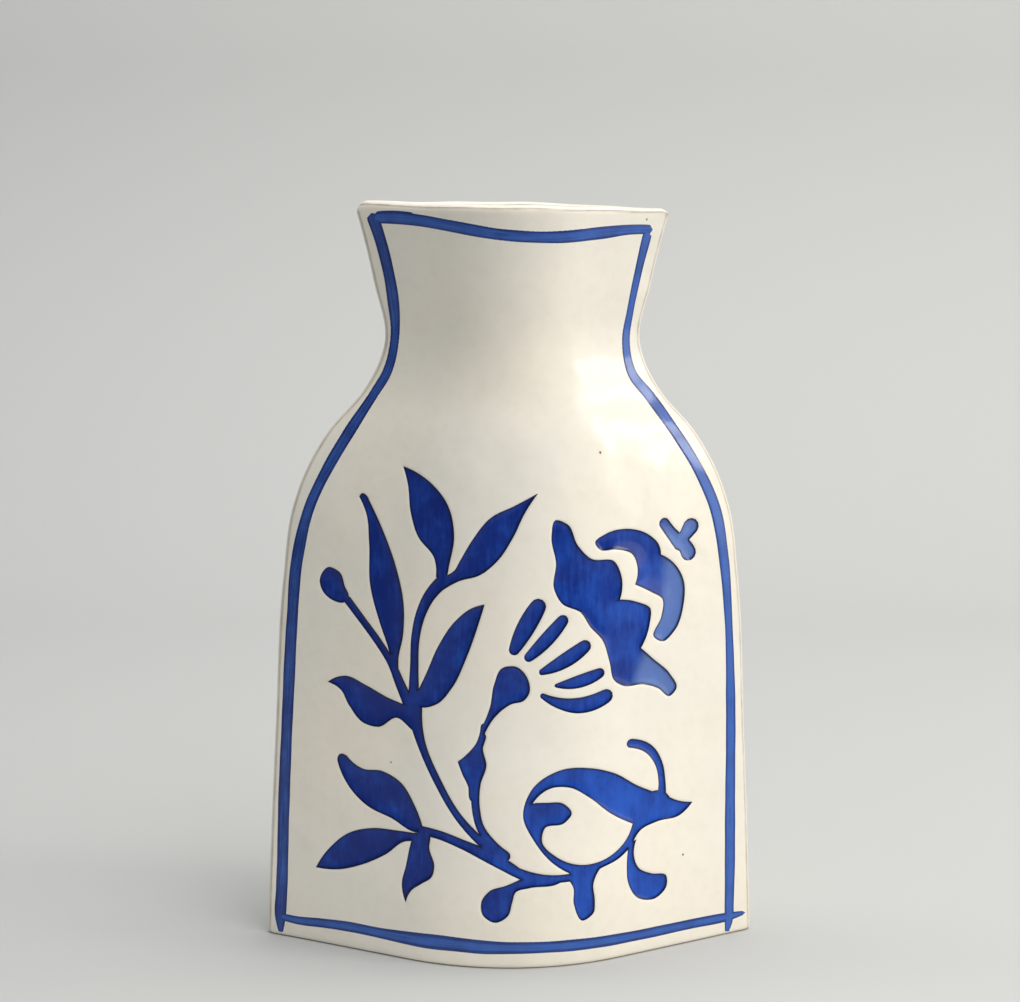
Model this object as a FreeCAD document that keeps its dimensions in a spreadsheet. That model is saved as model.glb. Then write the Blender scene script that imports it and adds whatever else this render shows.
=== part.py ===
"""Slab-built talavera bottle vase: two bulged clay slabs joined at sharp side seams,
a foot slab, two seam coils inside, a carved motif flooded with cobalt glaze, and
brushed cobalt borders. Millimetres, +Z up, origin at the middle of the foot,
the carved face towards -Y."""
import FreeCAD, Part
import math
import os
import Sketcher
from FreeCAD import Vector

doc = FreeCAD.newDocument("talavera_vase")

# ---------------------------------------------------------------- driving dimensions
SIZES = [
    ("body_height", 100.0, "foot to the start of the shoulder"),
    ("shoulder_rise", 63.0, "start of the shoulder to the narrowest part of the neck"),
    ("neck_rise", 37.0, "narrowest part of the neck to the rim"),
    ("foot_width", 134.0, "seam to seam at the foot"),
    ("body_width", 123.5, "seam to seam where the shoulder starts"),
    ("neck_width", 68.5, "seam to seam at the narrowest part"),
    ("rim_width", 84.0, "seam to seam at the rim"),
    ("foot_depth", 62.5, "front to back at the foot"),
    ("body_depth", 59.0, "front to back where the shoulder starts"),
    ("neck_depth", 37.0, "front to back at the narrowest part"),
    ("rim_depth", 43.0, "front to back at the rim"),
    ("foot_round", 56.0, "radius of the bulged middle at the foot"),
    ("body_round", 54.0, "radius of the bulged middle where the shoulder starts"),
    ("neck_round", 28.0, "radius of the bulged middle at the neck"),
    ("rim_round", 34.0, "radius of the bulged middle at the rim"),
    ("edge_round", 2.2, "rounding of the outside of the side seams"),
    ("wall", 4.5, "thickness of the clay slabs"),
    ("inner_round", 1.0, "rounding of the inside corner along the seams"),
    ("lip_round", 1.9, "rounding of the rim, inside and outside"),
    ("foot_thickness", 5.0, "thickness of the foot slab"),
    ("coil_radius", 4.0, "radius of the clay coils inside the seams"),
    ("coil_sink", 2.6, "coil centre in from the inside corner"),
    ("carve_depth", 0.8, "depth of the carved motif"),
    ("glaze_sink", 0.2, "how far the glaze pools stay below the surface"),
    ("brush_depth", 0.4, "thickness of the brushed border glaze"),
    ("brush_wide", 3.4, "width of the left border stroke"),
    ("brush_narrow", 3.0, "width of the other border strokes"),
    ("seam_margin", 3.2, "border stroke centre in from the seam along the body"),
    ("shoulder_margin", 5.6, "border stroke centre in from the seam on the shoulder"),
    ("rim_margin", 6.0, "top border stroke centre below the rim, at its middle"),
    ("foot_margin", 6.0, "bottom border stroke centre above the foot"),
]

sheet = doc.addObject("Spreadsheet::Sheet", "Sizes")
for row, (alias, number, note) in enumerate(SIZES, 1):
    sheet.set(f"A{row}", alias)
    sheet.set(f"B{row}", str(number))
    sheet.set(f"C{row}", note)
    sheet.setAlias(f"B{row}", alias)
doc.recompute()


def size(alias):
    """The number that the sheet holds under an alias."""
    cell = getattr(sheet, alias)
    return float(getattr(cell, "Value", cell))


def between(start, end, share):
    """A sheet formula for the value that lies a share of the way from start to end."""
    return f"({start} + {share} * ({end} - {start}))"


# ---------------------------------------------------------------- levels of the form
# Each level: name, height, and how far the form has gone from one named profile to the
# next. The shoulder steps in slowly, then fast; the neck flares towards the rim.
LEVELS = [
    ("foot", "0", "foot", "body", 0.0),
    ("belly", "0.6 * body_height", "foot", "body", 0.54),
    ("body", "body_height", "body", "neck", 0.0),
    ("shoulder_low", "body_height + 0.32 * shoulder_rise", "body", "neck", 0.11),
    ("shoulder_mid", "body_height + 0.48 * shoulder_rise", "body", "neck", 0.25),
    ("shoulder_high", "body_height + 0.64 * shoulder_rise", "body", "neck", 0.47),
    ("shoulder_end", "body_height + 0.80 * shoulder_rise", "body", "neck", 0.79),
    ("neck", "body_height + shoulder_rise", "neck", "rim", 0.0),
    ("flare", "body_height + shoulder_rise + 0.46 * neck_rise", "neck", "rim", 0.36),
    ("rim", "body_height + shoulder_rise + neck_rise", "neck", "rim", 1.0),
]


def level_formulas(name, height, start, end, share):
    """Sheet formulas of one level: height, half width, half depth, middle radius and
    the slope of the straight flanks, which touch both the middle and the seam edge."""
    half, deep, bulge = f"{name}_half", f"{name}_deep", f"{name}_bulge"
    run = f"({half} - edge_round)"
    drop = f"({bulge} - {deep})"
    reach = f"sqrt({run} * {run} + {drop} * {drop})"
    return [
        (f"{name}_level", height),
        (half, between(f"{start}_width", f"{end}_width", share) + " / 2"),
        (deep, between(f"{start}_depth", f"{end}_depth", share) + " / 2"),
        (bulge, between(f"{start}_round", f"{end}_round", share)),
        (f"{name}_slope", f"asin(({bulge} - edge_round) / {reach}) - atan({drop} / {run})"),
    ]


row = len(SIZES) + 2
for level in LEVELS:
    for alias, formula in level_formulas(*level):
        sheet.set(f"A{row}", alias)
        sheet.set(f"B{row}", "=" + formula)
        sheet.setAlias(f"B{row}", alias)
        row += 1
doc.recompute()


# ---------------------------------------------------------------- sections and lofts
def bind(sketch, name, formula):
    """Names the sketch's last constraint and ties it to the sheet."""
    sketch.renameConstraint(sketch.ConstraintCount - 1, name)
    sketch.setExpression(f"Constraints.{name}", formula)


def at_level(sketch, level):
    sketch.setExpression(".Placement.Base.z", f"Sizes.{level}_level")


def tip_centre(level, inset, tip):
    """Formula of the distance from the middle to the centre of a seam edge's rounding,
    for a section that lies inset inside the outer one."""
    shift = f"({inset} + {tip} - Sizes.edge_round) / sin(Sizes.{level}_slope)"
    return f"Sizes.{level}_half - Sizes.edge_round - {shift}"


def lens_sketch(family, level, inset, tip):
    """The lens-shaped section of one level: a rounded middle, straight flanks and a
    small rounding at each seam, all tangent, lying inset inside the outer section."""
    sketch = doc.addObject("Sketcher::SketchObject", f"{family}_{level}")
    slope = math.radians(size(f"{level}_slope"))
    big = size(f"{level}_bulge") - inset[1]
    offset = size(f"{level}_bulge") - size(f"{level}_deep")
    small = tip[1]
    centre = (size(f"{level}_half") - size("edge_round")
              - (inset[1] + small - size("edge_round")) / math.sin(slope))
    turn = math.pi / 2 - slope
    arcs = [(Vector(centre, 0, 0), small, -turn, turn),
            (Vector(0, -offset, 0), big, turn, math.pi - turn),
            (Vector(-centre, 0, 0), small, math.pi - turn, math.pi + turn),
            (Vector(0, offset, 0), big, math.pi + turn, 2 * math.pi - turn)]
    curves = [Part.ArcOfCircle(Part.Circle(at, Vector(0, 0, 1), radius), start, end)
              for at, radius, start, end in arcs]
    for place, curve in enumerate(curves):
        following = curves[(place + 1) % 4]
        sketch.addGeometry(curve)
        sketch.addGeometry(Part.LineSegment(curve.EndPoint, following.StartPoint))
    for edge in range(8):
        sketch.addConstraint(Sketcher.Constraint("Tangent", edge, 2, (edge + 1) % 8, 1))
    for edge, axis in ((0, -1), (4, -1), (2, -2), (6, -2)):
        sketch.addConstraint(Sketcher.Constraint("PointOnObject", edge, 3, axis))
    sketch.addConstraint(Sketcher.Constraint("Equal", 0, 4))
    sketch.addConstraint(Sketcher.Constraint("Equal", 2, 6))
    sketch.addConstraint(Sketcher.Constraint("Radius", 0, small))
    bind(sketch, "tip", tip[0])
    sketch.addConstraint(Sketcher.Constraint("Radius", 2, big))
    bind(sketch, "bulge", f"Sizes.{level}_bulge - {inset[0]}")
    across = tip_centre(level, inset[0], tip[0])
    drop = f"Sizes.{level}_bulge - Sizes.{level}_deep"
    sketch.addConstraint(Sketcher.Constraint("DistanceX", -1, 1, 0, 3, centre))
    bind(sketch, "right", across)
    sketch.addConstraint(Sketcher.Constraint("DistanceX", 4, 3, -1, 1, centre))
    bind(sketch, "left", across)
    sketch.addConstraint(Sketcher.Constraint("DistanceY", -1, 1, 6, 3, offset))
    bind(sketch, "front", drop)
    sketch.addConstraint(Sketcher.Constraint("DistanceY", 2, 3, -1, 1, offset))
    bind(sketch, "back", drop)
    at_level(sketch, level)
    return sketch


def loft(name, sections):
    body = doc.addObject("Part::Loft", name)
    body.Sections = sections
    body.Solid = True
    body.Ruled = False
    body.MaxDegree = 2
    return body


def lens_loft(family, inset, tip):
    """A solid of the vase's form, lying inset inside the outer surface. Inset and tip
    are each a formula and its number."""
    sections = [lens_sketch(family, level[0], inset, tip) for level in LEVELS]
    return loft(family, sections)


def inset_by(alias):
    """Inset and seam rounding of a form that lies just under the outer surface."""
    shift = size(alias) if alias else 0.0
    formula = f"Sizes.{alias}" if alias else "0"
    return (formula, shift), (f"(Sizes.edge_round - {formula})", size("edge_round") - shift)


def combine(kind, name, first, second):
    """A Part::Cut or Part::Common of two objects."""
    result = doc.addObject(f"Part::{kind}", name)
    result.Base = first
    result.Tool = second
    return result


def half_space(name, depth_from):
    """A block that holds everything in front of the seams, or everything behind."""
    block = doc.addObject("Part::Box", name)
    block.setExpression("Length", "2 * Sizes.foot_width")
    block.setExpression("Width", "Sizes.foot_depth + Sizes.body_depth")
    block.setExpression("Height", "2 * Sizes.rim_level")
    block.setExpression(".Placement.Base.x", "-Sizes.foot_width")
    block.setExpression(".Placement.Base.y", depth_from)
    block.setExpression(".Placement.Base.z", "-Sizes.rim_level / 2")
    return block


outer_form = lens_loft("outer_form", *inset_by(None))
cavity_form = lens_loft("cavity_form", ("Sizes.wall", size("wall")),
                        ("Sizes.inner_round", size("inner_round")))
carved_form = lens_loft("carved_form", *inset_by("carve_depth"))
glaze_form = lens_loft("glaze_form", *inset_by("glaze_sink"))
brush_form = lens_loft("brush_form", *inset_by("brush_depth"))
wall_ring = combine("Cut", "wall_ring", outer_form, cavity_form)
doc.recompute()

# ---------------------------------------------------------------- rounded rim
RIM_HEIGHT = size("rim_level")
MOST_OF_HALF = 0.45    # the two roundings leave a narrow flat between them on the wall
CLOSE = 0.01
lip = min(size("lip_round"), MOST_OF_HALF * size("wall"))
rim_edges = [place for place, edge in enumerate(wall_ring.Shape.Edges, 1)
             if all(abs(point.Z - RIM_HEIGHT) < CLOSE for point in edge.Vertexes)]
rounded_ring = doc.addObject("Part::Fillet", "rounded_ring")
rounded_ring.Base = wall_ring
rounded_ring.Edges = [(place, lip, lip) for place in rim_edges]
front_space = half_space("front_space", "-Sizes.foot_depth - Sizes.body_depth")
back_space = half_space("back_space", "0")
front_wall = combine("Common", "front_wall", rounded_ring, front_space)
back_wall = combine("Common", "back_wall", rounded_ring, back_space)
doc.recompute()

# ---------------------------------------------------------------- foot slab and coils
foot_space = doc.addObject("Part::Box", "foot_space")
foot_space.setExpression("Length", "2 * Sizes.foot_width")
foot_space.setExpression("Width", "2 * Sizes.foot_depth")
foot_space.setExpression("Height", "Sizes.foot_thickness")
foot_space.setExpression(".Placement.Base.x", "-Sizes.foot_width")
foot_space.setExpression(".Placement.Base.y", "-Sizes.foot_depth")
foot_slab = combine("Common", "foot_slab", cavity_form, foot_space)


def coil_sketch(level):
    """The round section of the right seam coil, pressed into the inside corner."""
    sketch = doc.addObject("Sketcher::SketchObject", f"coil_{level}")
    corner = tip_centre(level, "Sizes.wall", "Sizes.inner_round")
    reach = (size(f"{level}_half") - size("edge_round") - size("coil_sink")
             - (size("wall") + size("inner_round") - size("edge_round"))
             / math.sin(math.radians(size(f"{level}_slope"))))
    radius = size("coil_radius")
    sketch.addGeometry(Part.Circle(Vector(reach, 0, 0), Vector(0, 0, 1), radius))
    sketch.addConstraint(Sketcher.Constraint("PointOnObject", 0, 3, -1))
    sketch.addConstraint(Sketcher.Constraint("Radius", 0, radius))
    bind(sketch, "radius", "Sizes.coil_radius")
    sketch.addConstraint(Sketcher.Constraint("DistanceX", -1, 1, 0, 3, reach))
    bind(sketch, "reach", f"{corner} - Sizes.coil_sink")
    at_level(sketch, level)
    return sketch


# The coils run from the foot slab to the flare of the neck.
rope = loft("rope", [coil_sketch(level[0]) for level in LEVELS[:-1]])
upper_rope = combine("Cut", "upper_rope", rope, foot_space)
coil_right = combine("Common", "seam_coil_right", cavity_form, upper_rope)
coil_left = doc.addObject("Part::Mirroring", "seam_coil_left")
coil_left.Source = coil_right
coil_left.Normal = Vector(1, 0, 0)
doc.recompute()

# ---------------------------------------------------------------- outlines of the motif
# The motif is drawn face on, in millimetres, on a board as wide as the nominal foot and
# as high as the nominal neck, and is stretched to the panel that the sizes give.
BOARD_WIDTH = 134.0
BOARD_HEIGHT = 163.0
STRETCH_X = size("foot_width") / BOARD_WIDTH
STRETCH_Z = size("neck_level") / BOARD_HEIGHT


def board(point):
    """A point of the drawing, on the plane through the seams."""
    return Vector(point[0] * STRETCH_X, 0, point[1] * STRETCH_Z)


def smooth_edge(points):
    """One smooth curve through the points."""
    curve = Part.BSplineCurve()
    curve.interpolate(points)
    return curve.toShape()


def outline(*runs):
    """A flat face bounded by smooth runs that meet at corners. Each run starts where the
    one before it ends, and the last one closes the face."""
    closed = [list(run) for run in runs]
    for place, run in enumerate(closed):
        run.append(closed[(place + 1) % len(closed)][0])
    edges = [smooth_edge([board(point) for point in run]) for run in closed]
    return Part.Face(Part.Wire(edges))


def smooth_loop(points):
    """A flat face bounded by one closed smooth curve."""
    curve = Part.BSplineCurve()
    curve.interpolate([board(point) for point in points], True)
    return Part.Face(Part.Wire([curve.toShape()]))


def swept_outline(path, widths):
    """A flat face that follows a path, with a width at each of its points and half-round
    ends: what one pull of a loaded brush or a narrow gouge leaves."""
    middle = Part.BSplineCurve()
    middle.interpolate(path)
    left, right = [], []
    for point, width in zip(path, widths):
        along = middle.tangent(middle.parameter(point))[0]
        across = Vector(-along.z, 0, along.x).normalize() * (width / 2)
        left.append(point + across)
        right.append(point - across)
    start = path[0] - middle.tangent(middle.FirstParameter)[0].normalize() * (widths[0] / 2)
    end = path[-1] + middle.tangent(middle.LastParameter)[0].normalize() * (widths[-1] / 2)
    edges = [smooth_edge(left),
             Part.Arc(left[-1], end, right[-1]).toShape(),
             smooth_edge(right[::-1]),
             Part.Arc(right[0], start, left[0]).toShape()]
    return Part.Face(Part.Wire(edges))


def stem(path, *widths):
    return swept_outline([board(point) for point in path], widths)


def joined(faces):
    """Several overlapping flat faces as one."""
    pieces = Part.makeCompound(faces[0].multiFuse(faces[1:]).Faces)
    pieces.sewShape()
    whole = pieces.removeSplitter().Faces
    if len(whole) != 1:
        raise RuntimeError(f"outlines that overlap came out as {len(whole)} faces")
    return whole[0]


def leaves():
    """The eight leaves of the sprig, each from its root up one side to the tip and back
    down the other, and the bud, the calyx and the diamond-shaped swelling."""
    return [
        outline([(-20.6, 104.5), (-21, 109.3), (-25.3, 114.8), (-27.1, 120.5), (-28, 128.5)],
                [(-29.1, 132.4), (-22.5, 129.2), (-17.6, 123.5), (-15.9, 115.5),
                 (-17.3, 107)],
                [(-18, 103)]),
        outline([(-18.4, 104.9), (-15.9, 106.4), (-14.3, 109.2), (-11.3, 114.4),
                 (-6.5, 120.4), (0, 123.7)],
                [(5.8, 126.7), (2.3, 121.5), (-0.5, 115.7), (-4.7, 109.3), (-9.5, 105.4),
                 (-14.5, 103.8)],
                [(-19, 101)]),
        outline([(-32, 79.5), (-33.2, 84.5), (-35.4, 90.9), (-37.9, 100.4), (-38.2, 112),
                 (-39, 119.7)],
                [(-40.8, 123.6), (-40, 124.6), (-38.8, 124)],
                [(-38.2, 122.9), (-34.3, 114.9), (-31.2, 106.5), (-29.1, 96.5), (-29.3, 88),
                 (-30.5, 81.5), (-30.2, 77), (-28.3, 73)]),
        smooth_loop([(-45, 95.2), (-48, 95.4), (-50.6, 97.3), (-51.6, 100.6), (-49.1, 104.2),
                     (-46.1, 103), (-44.8, 99.5), (-43.8, 96.8)]),
        outline([(-25.5, 73.5), (-23.2, 78.6), (-20, 86.3), (-15.4, 93.4), (-11.3, 96.8)],
                [(-8, 97.9), (-9.6, 92.5), (-12.6, 83.8), (-16.5, 75.3), (-20.5, 70.7),
                 (-25, 69.6)],
                [(-27, 71)]),
        outline([(-28, 69.5), (-32.7, 70.7), (-39.2, 73.5), (-44.5, 75.3)],
                [(-49.6, 73), (-46.2, 71.5), (-43.8, 67.4), (-40, 63.2), (-36, 62.6),
                 (-30.8, 65.8), (-26.5, 63)]),
        outline([(-24, 36.5), (-26.4, 43), (-30, 48.4), (-34.9, 50.7), (-40.3, 50.6)],
                [(-44.6, 53.5), (-46.3, 53.7), (-47.1, 52.2)],
                [(-47, 51.5), (-43.6, 44.7), (-38.8, 40.5), (-32.8, 38.4), (-25, 35.8)]),
        outline([(-24.5, 35.2), (-31, 35.1), (-37.3, 34.7), (-43.8, 32.4), (-49.2, 27.4)],
                [(-53.2, 21.1), (-47.1, 21.6), (-40.5, 24.1), (-34.1, 28), (-28.5, 32.6)],
                [(-25, 33)]),
        outline([(-26.5, 35.2), (-27.5, 31.5), (-28.5, 26.3), (-29.7, 20.3)],
                [(-28.7, 15.8), (-27.2, 19.3), (-24.5, 21.6), (-21.8, 23.8), (-21.1, 27),
                 (-22.4, 31.5), (-22.3, 35.5)]),
        outline([(-8.9, 64.8), (-6.5, 70.8), (-5.4, 77), (-3.4, 81.2), (0.2, 81.6),
                 (3.3, 78.4), (3.7, 74.4), (2.4, 72.6), (-1, 71.6), (-4.6, 68.8)],
                [(-7.5, 64.3)]),
        outline([(-8.8, 64), (-9.7, 61.6), (-11.2, 59.4)],
                [(-14.9, 55.8), (-13.7, 52.6), (-12.2, 49.4), (-11.4, 45.5)],
                [(-9.2, 45.5), (-8.9, 50), (-7.4, 55.2), (-8.3, 59.5), (-7.8, 63.5)]),
    ]


def stems():
    """The stems that join the leaves, and the trunk that they run into."""
    return [
        stem([(-44.1, 96), (-40.2, 91.2), (-36, 85.9), (-32.5, 80.7), (-30, 75), (-27.5, 69.5)],
             2.1, 2, 2, 2.1, 2.6, 3.2),
        stem([(-19.3, 103), (-22, 99.8), (-24.6, 94.3), (-25.9, 88.5), (-26.3, 80), (-26.4, 69)],
             3.4, 3, 2.5, 2.2, 2.2, 3.4),
        stem([(-26.4, 69), (-24.7, 60.5), (-20.4, 50.4), (-14.1, 40.1), (-5, 31.8)],
             4.4, 2.4, 2, 2, 3),
        stem([(-8.1, 65.5), (-8.4, 63.9), (-9.2, 60.5)], 1.6, 1.4, 2),
        stem([(-10.3, 47), (-10.1, 43.3), (-8.9, 38.3), (-6.2, 34.4), (-2.5, 30.8)],
             2.2, 2.1, 2.1, 2.4, 3),
        stem([(-24.3, 36.2), (-19.5, 35.5), (-13.7, 33.6), (-6.4, 30.5), (0.4, 26.6)],
             2.4, 2.4, 2.6, 3.4, 2.8),
        stem([(0, 26.8), (4.1, 25.1), (9.3, 24.3), (19, 24.8)], 2.6, 2.8, 2.2, 2.4),
    ]


def scroll():
    """The scroll that the trunk ends in: a ring that thickens into a leaf with a pointed
    end, the curl above it, and three drops below."""
    ring = outline([(14.5, 25.6), (10, 28.8), (5.5, 34.4), (2.3, 41.8), (4.9, 49.1),
                    (12.5, 53.6), (20.1, 53.4), (26.7, 51.2), (33.5, 46.6)],
                   [(37.6, 44.4), (40.5, 44)],
                   [(42.6, 41.9), (45.5, 40.4)],
                   [(49.2, 39.5), (45.6, 36.5), (38.7, 35.8), (34.2, 34.2)],
                   [(32.2, 31), (28.5, 27.8), (23, 25.7), (18, 23.5)])
    eye = outline([(4.8, 45), (9.9, 48.9), (14.6, 48.7), (20.1, 45.4), (26, 40.3)],
                  [(32.1, 36.5), (30.3, 32.4), (25.2, 28.4), (18, 27.4), (11.6, 29.9), (7.3, 34.8),
                   (8.1, 38.2), (13.2, 39.2), (15.2, 41.6), (12.9, 44.5), (8.4, 45)])
    curl = stem([(40.3, 43), (40.3, 47), (39.5, 51.3), (36.4, 56.2), (31.4, 58.5)],
                2.4, 1.9, 2, 2.4, 2.4)
    drops = [
        outline([(31.1, 31), (30.6, 25), (31, 20.5), (34, 15.6), (38.6, 14.6), (41.9, 17.3),
                 (41.8, 20.4), (37.5, 21.8), (34, 23.9), (32.5, 28)],
                [(33.2, 32)]),
        outline([(13, 25), (15.8, 21.5), (16, 17), (18.5, 12.1), (21.4, 13.9), (21.7, 17),
                 (21.3, 22)],
                [(23.4, 26.2)]),
        outline([(14.5, 24.5), (11.5, 22.8), (4.1, 22.1), (0.4, 21), (-0.5, 18.2), (-1.6, 14.6),
                 (-5.1, 12.7), (-8.2, 14.6), (-8.6, 18.3), (-6.4, 21.3), (-2.2, 22.8)],
                [(1.5, 24.5)]),
    ]
    return joined([ring.cut(eye), curl] + drops)


def petal(number):
    """One of the five slim petals of the open fan."""
    path, widths = [
        ([(-0.2, 86.1), (2.6, 91.6), (5.9, 97.3)], (2.9, 4.8, 4.3)),
        ([(3.6, 84.1), (8.6, 89), (12.4, 93.4)], (2.5, 3.8, 3.1)),
        ([(7.1, 80.1), (13.4, 83), (18.3, 86.2)], (1.7, 4, 3.5)),
        ([(10.9, 76.3), (16.9, 77), (22.4, 78.7)], (1, 3.4, 2.8)),
        ([(7.3, 73.7), (11.6, 71.6), (16.6, 70.6), (24.2, 72.3)], (1.4, 2.9, 4.1, 3.9)),
    ][number - 1]
    return stem(path, *widths)


def tulip_petal():
    return outline([(27.9, 97.7), (32.7, 96.5), (36.4, 94.3), (36.3, 90.5)],
                   [(33.9, 84), (37.4, 80.6), (42.1, 76), (44.1, 71.6), (42.3, 69.8),
                    (38.9, 72.4), (34.5, 74.1), (29.3, 74.4), (26.6, 76.2), (25.2, 81.3),
                    (23, 87.7), (19.9, 91.2), (17.3, 95.2), (12.2, 98), (10.1, 102),
                    (10.6, 108.5), (9.4, 115.5), (10.4, 119.7), (13.6, 118.5), (16.3, 113),
                    (20, 109.2), (26.2, 108), (28.2, 104)])


def scalloped_petal():
    return outline([(39.3, 108.4), (43.1, 105.6), (45.8, 100.9), (45.9, 94.5), (43.3, 87.4),
                    (40, 85), (37.5, 86.6), (39.6, 91.8), (39.8, 96.5), (36.8, 98.6)],
                   [(32.1, 101.2), (32.8, 105), (31.2, 109.4), (26.6, 111.1), (22.2, 111.5),
                    (21, 113.3), (24.1, 115.5), (29.6, 116.2), (35.4, 114.3), (38.8, 110.8)])


def trefoil():
    lobes = [stem([(40.2, 116.6), (42.1, 114), (44.9, 110.9)], 2.9, 3.1, 4.2),
             stem([(47.8, 115), (46.9, 113.8), (45.2, 111.6)], 4.5, 4, 3),
             stem([(47.2, 108), (46.6, 109.2), (45.2, 111.2)], 4.2, 4, 3.4)]
    return joined(lobes)


# ---------------------------------------------------------------- outlines of the borders
RIM_CORNER = 1.4       # the side strokes' margin at the rim, in seam margins
THIN_START = 0.4       # a side stroke's width at the foot, in full widths
TOP_SAG = 0.5          # how far the top stroke's middle hangs down, in rim margins


def border_path(sign):
    """The middle line of a side stroke, from under the rim down to the foot: it keeps a
    margin from the seam that grows on the shoulder."""
    names = [level[0] for level in LEVELS[1:-1]]
    wide = ("shoulder_mid", "shoulder_high", "shoulder_end")
    path = []
    for name in names:
        margin = size("shoulder_margin") if name in wide else size("seam_margin")
        path.append((size(f"{name}_half") - margin, size(f"{name}_level")))
    foot = (size("foot_half") - size("seam_margin"), size("brush_narrow"))
    top = (size("rim_half") - RIM_CORNER * size("seam_margin"),
           RIM_HEIGHT - size("rim_margin"))
    return [Vector(sign * across, 0, up) for across, up in [foot] + path + [top]]


def side_stroke(sign, width):
    """A side stroke, drawn thin at the foot and full at the rim."""
    path = border_path(sign)
    return swept_outline(path, [THIN_START * width] + [width] * (len(path) - 1))


def cross_stroke(height, sag, reach, width):
    """A stroke from one side to the other whose middle hangs lower by the sag."""
    path = [Vector(share * reach, 0, height - sag * (1 - share * share))
            for share in (-1, -0.5, 0, 0.5, 1)]
    return swept_outline(path, [width] * 5)


def top_stroke():
    sag = TOP_SAG * size("rim_margin")
    reach = size("rim_half") - RIM_CORNER * size("seam_margin")
    height = RIM_HEIGHT - size("rim_margin") + sag
    return cross_stroke(height, sag, reach, size("brush_narrow"))


def foot_stroke():
    reach = size("foot_half") - size("seam_margin")
    return cross_stroke(size("foot_margin"), 0, reach, size("brush_narrow"))


# ---------------------------------------------------------------- inlays and strokes
def prism(name, face, towards):
    """A flat outline carried out of the form, forwards or backwards."""
    flat = doc.addObject("Part::Feature", f"{name}_outline")
    flat.Shape = face
    body = doc.addObject("Part::Extrusion", f"{name}_prism")
    body.Base = flat
    body.DirMode = "Custom"
    body.Dir = Vector(0, towards, 0)
    body.Solid = True
    body.setExpression("LengthFwd", "Sizes.foot_depth")
    return body


MOTIF = {"sprig": joined(leaves() + stems() + [scroll()])}
for number in range(1, 6):
    MOTIF[f"petal_{number}"] = petal(number)
MOTIF["tulip_petal"] = tulip_petal()
MOTIF["scalloped_petal"] = scalloped_petal()
MOTIF["trefoil"] = trefoil()

BORDER = {"border_left": side_stroke(-1, size("brush_wide")),
          "border_right": side_stroke(1, size("brush_narrow")),
          "border_top": top_stroke(),
          "border_foot": foot_stroke()}


def without_sides(strokes):
    """The cross strokes stop where the side strokes pass over them."""
    sides = [strokes["border_left"], strokes["border_right"]]
    trimmed = dict(strokes)
    for name in ("border_top", "border_foot"):
        pieces = strokes[name].cut(sides).Faces
        trimmed[name] = max(pieces, key=lambda face: face.Area)
    return trimmed


def inlaid(wall, floor_form, top_form, outlines, towards, prefix=""):
    """Cuts a recess for every outline into the wall, down to the floor form, and fills
    it up to the top form. Returns the wall with its recesses, and the filling pieces."""
    pieces = []
    recesses = doc.addObject("Part::Compound", f"{prefix}recesses")
    for name, face in outlines.items():
        body = prism(prefix + name, face, towards)
        recess = combine("Cut", f"{prefix}{name}_recess", body, floor_form)
        recesses.Links = recesses.Links + [recess]
        filling = combine("Common", f"{prefix}{name}_piece", top_form, recess)
        pieces.append((prefix + name, filling))
    return combine("Cut", f"{prefix}carved_wall", wall, recesses), pieces


STROKES = without_sides(BORDER)
front_slab, motif_pieces = inlaid(front_wall, carved_form, glaze_form, MOTIF, -1)
front_slab, front_strokes = inlaid(front_slab, brush_form, outer_form, STROKES, -1, "front_")
back_slab, back_strokes = inlaid(back_wall, brush_form, outer_form, STROKES, 1, "back_")
doc.recompute()

# ---------------------------------------------------------------- nodes, checks, export
NODES = [("front_slab", front_slab), ("back_slab", back_slab), ("foot_slab", foot_slab),
         ("seam_coil_left", coil_left), ("seam_coil_right", coil_right)]
NODES += motif_pieces + front_strokes + back_strokes
for label, node in NODES:
    node.Label = label
doc.recompute()

failed = [thing.Name for thing in doc.Objects
          if "Invalid" in thing.State or "Error" in thing.State]
if failed:
    raise RuntimeError(f"these objects failed: {failed}")
for label, node in NODES:
    shape = node.Shape
    if shape.isNull() or not shape.isValid() or len(shape.Solids) != 1:
        raise RuntimeError(f"{label} is not one valid solid: {len(shape.Solids)} solids")

os.makedirs("parts", exist_ok=True)
for label, node in NODES:
    node.Shape.exportStep(f"parts/{label}.step")
    print(f"{label}: {node.Shape.Volume / 1000:.3f} cm3")
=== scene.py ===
"""Talavera bottle vase: cream-glazed clay slabs with a motif carved into the front and
flooded with cobalt, and brushed cobalt borders. Lengths are written in millimetres and
put into the meshes in metres."""
import math

import bmesh
import bpy
import numpy as np
from mathutils import Matrix, Vector
from mathutils.geometry import delaunay_2d_cdt


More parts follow.
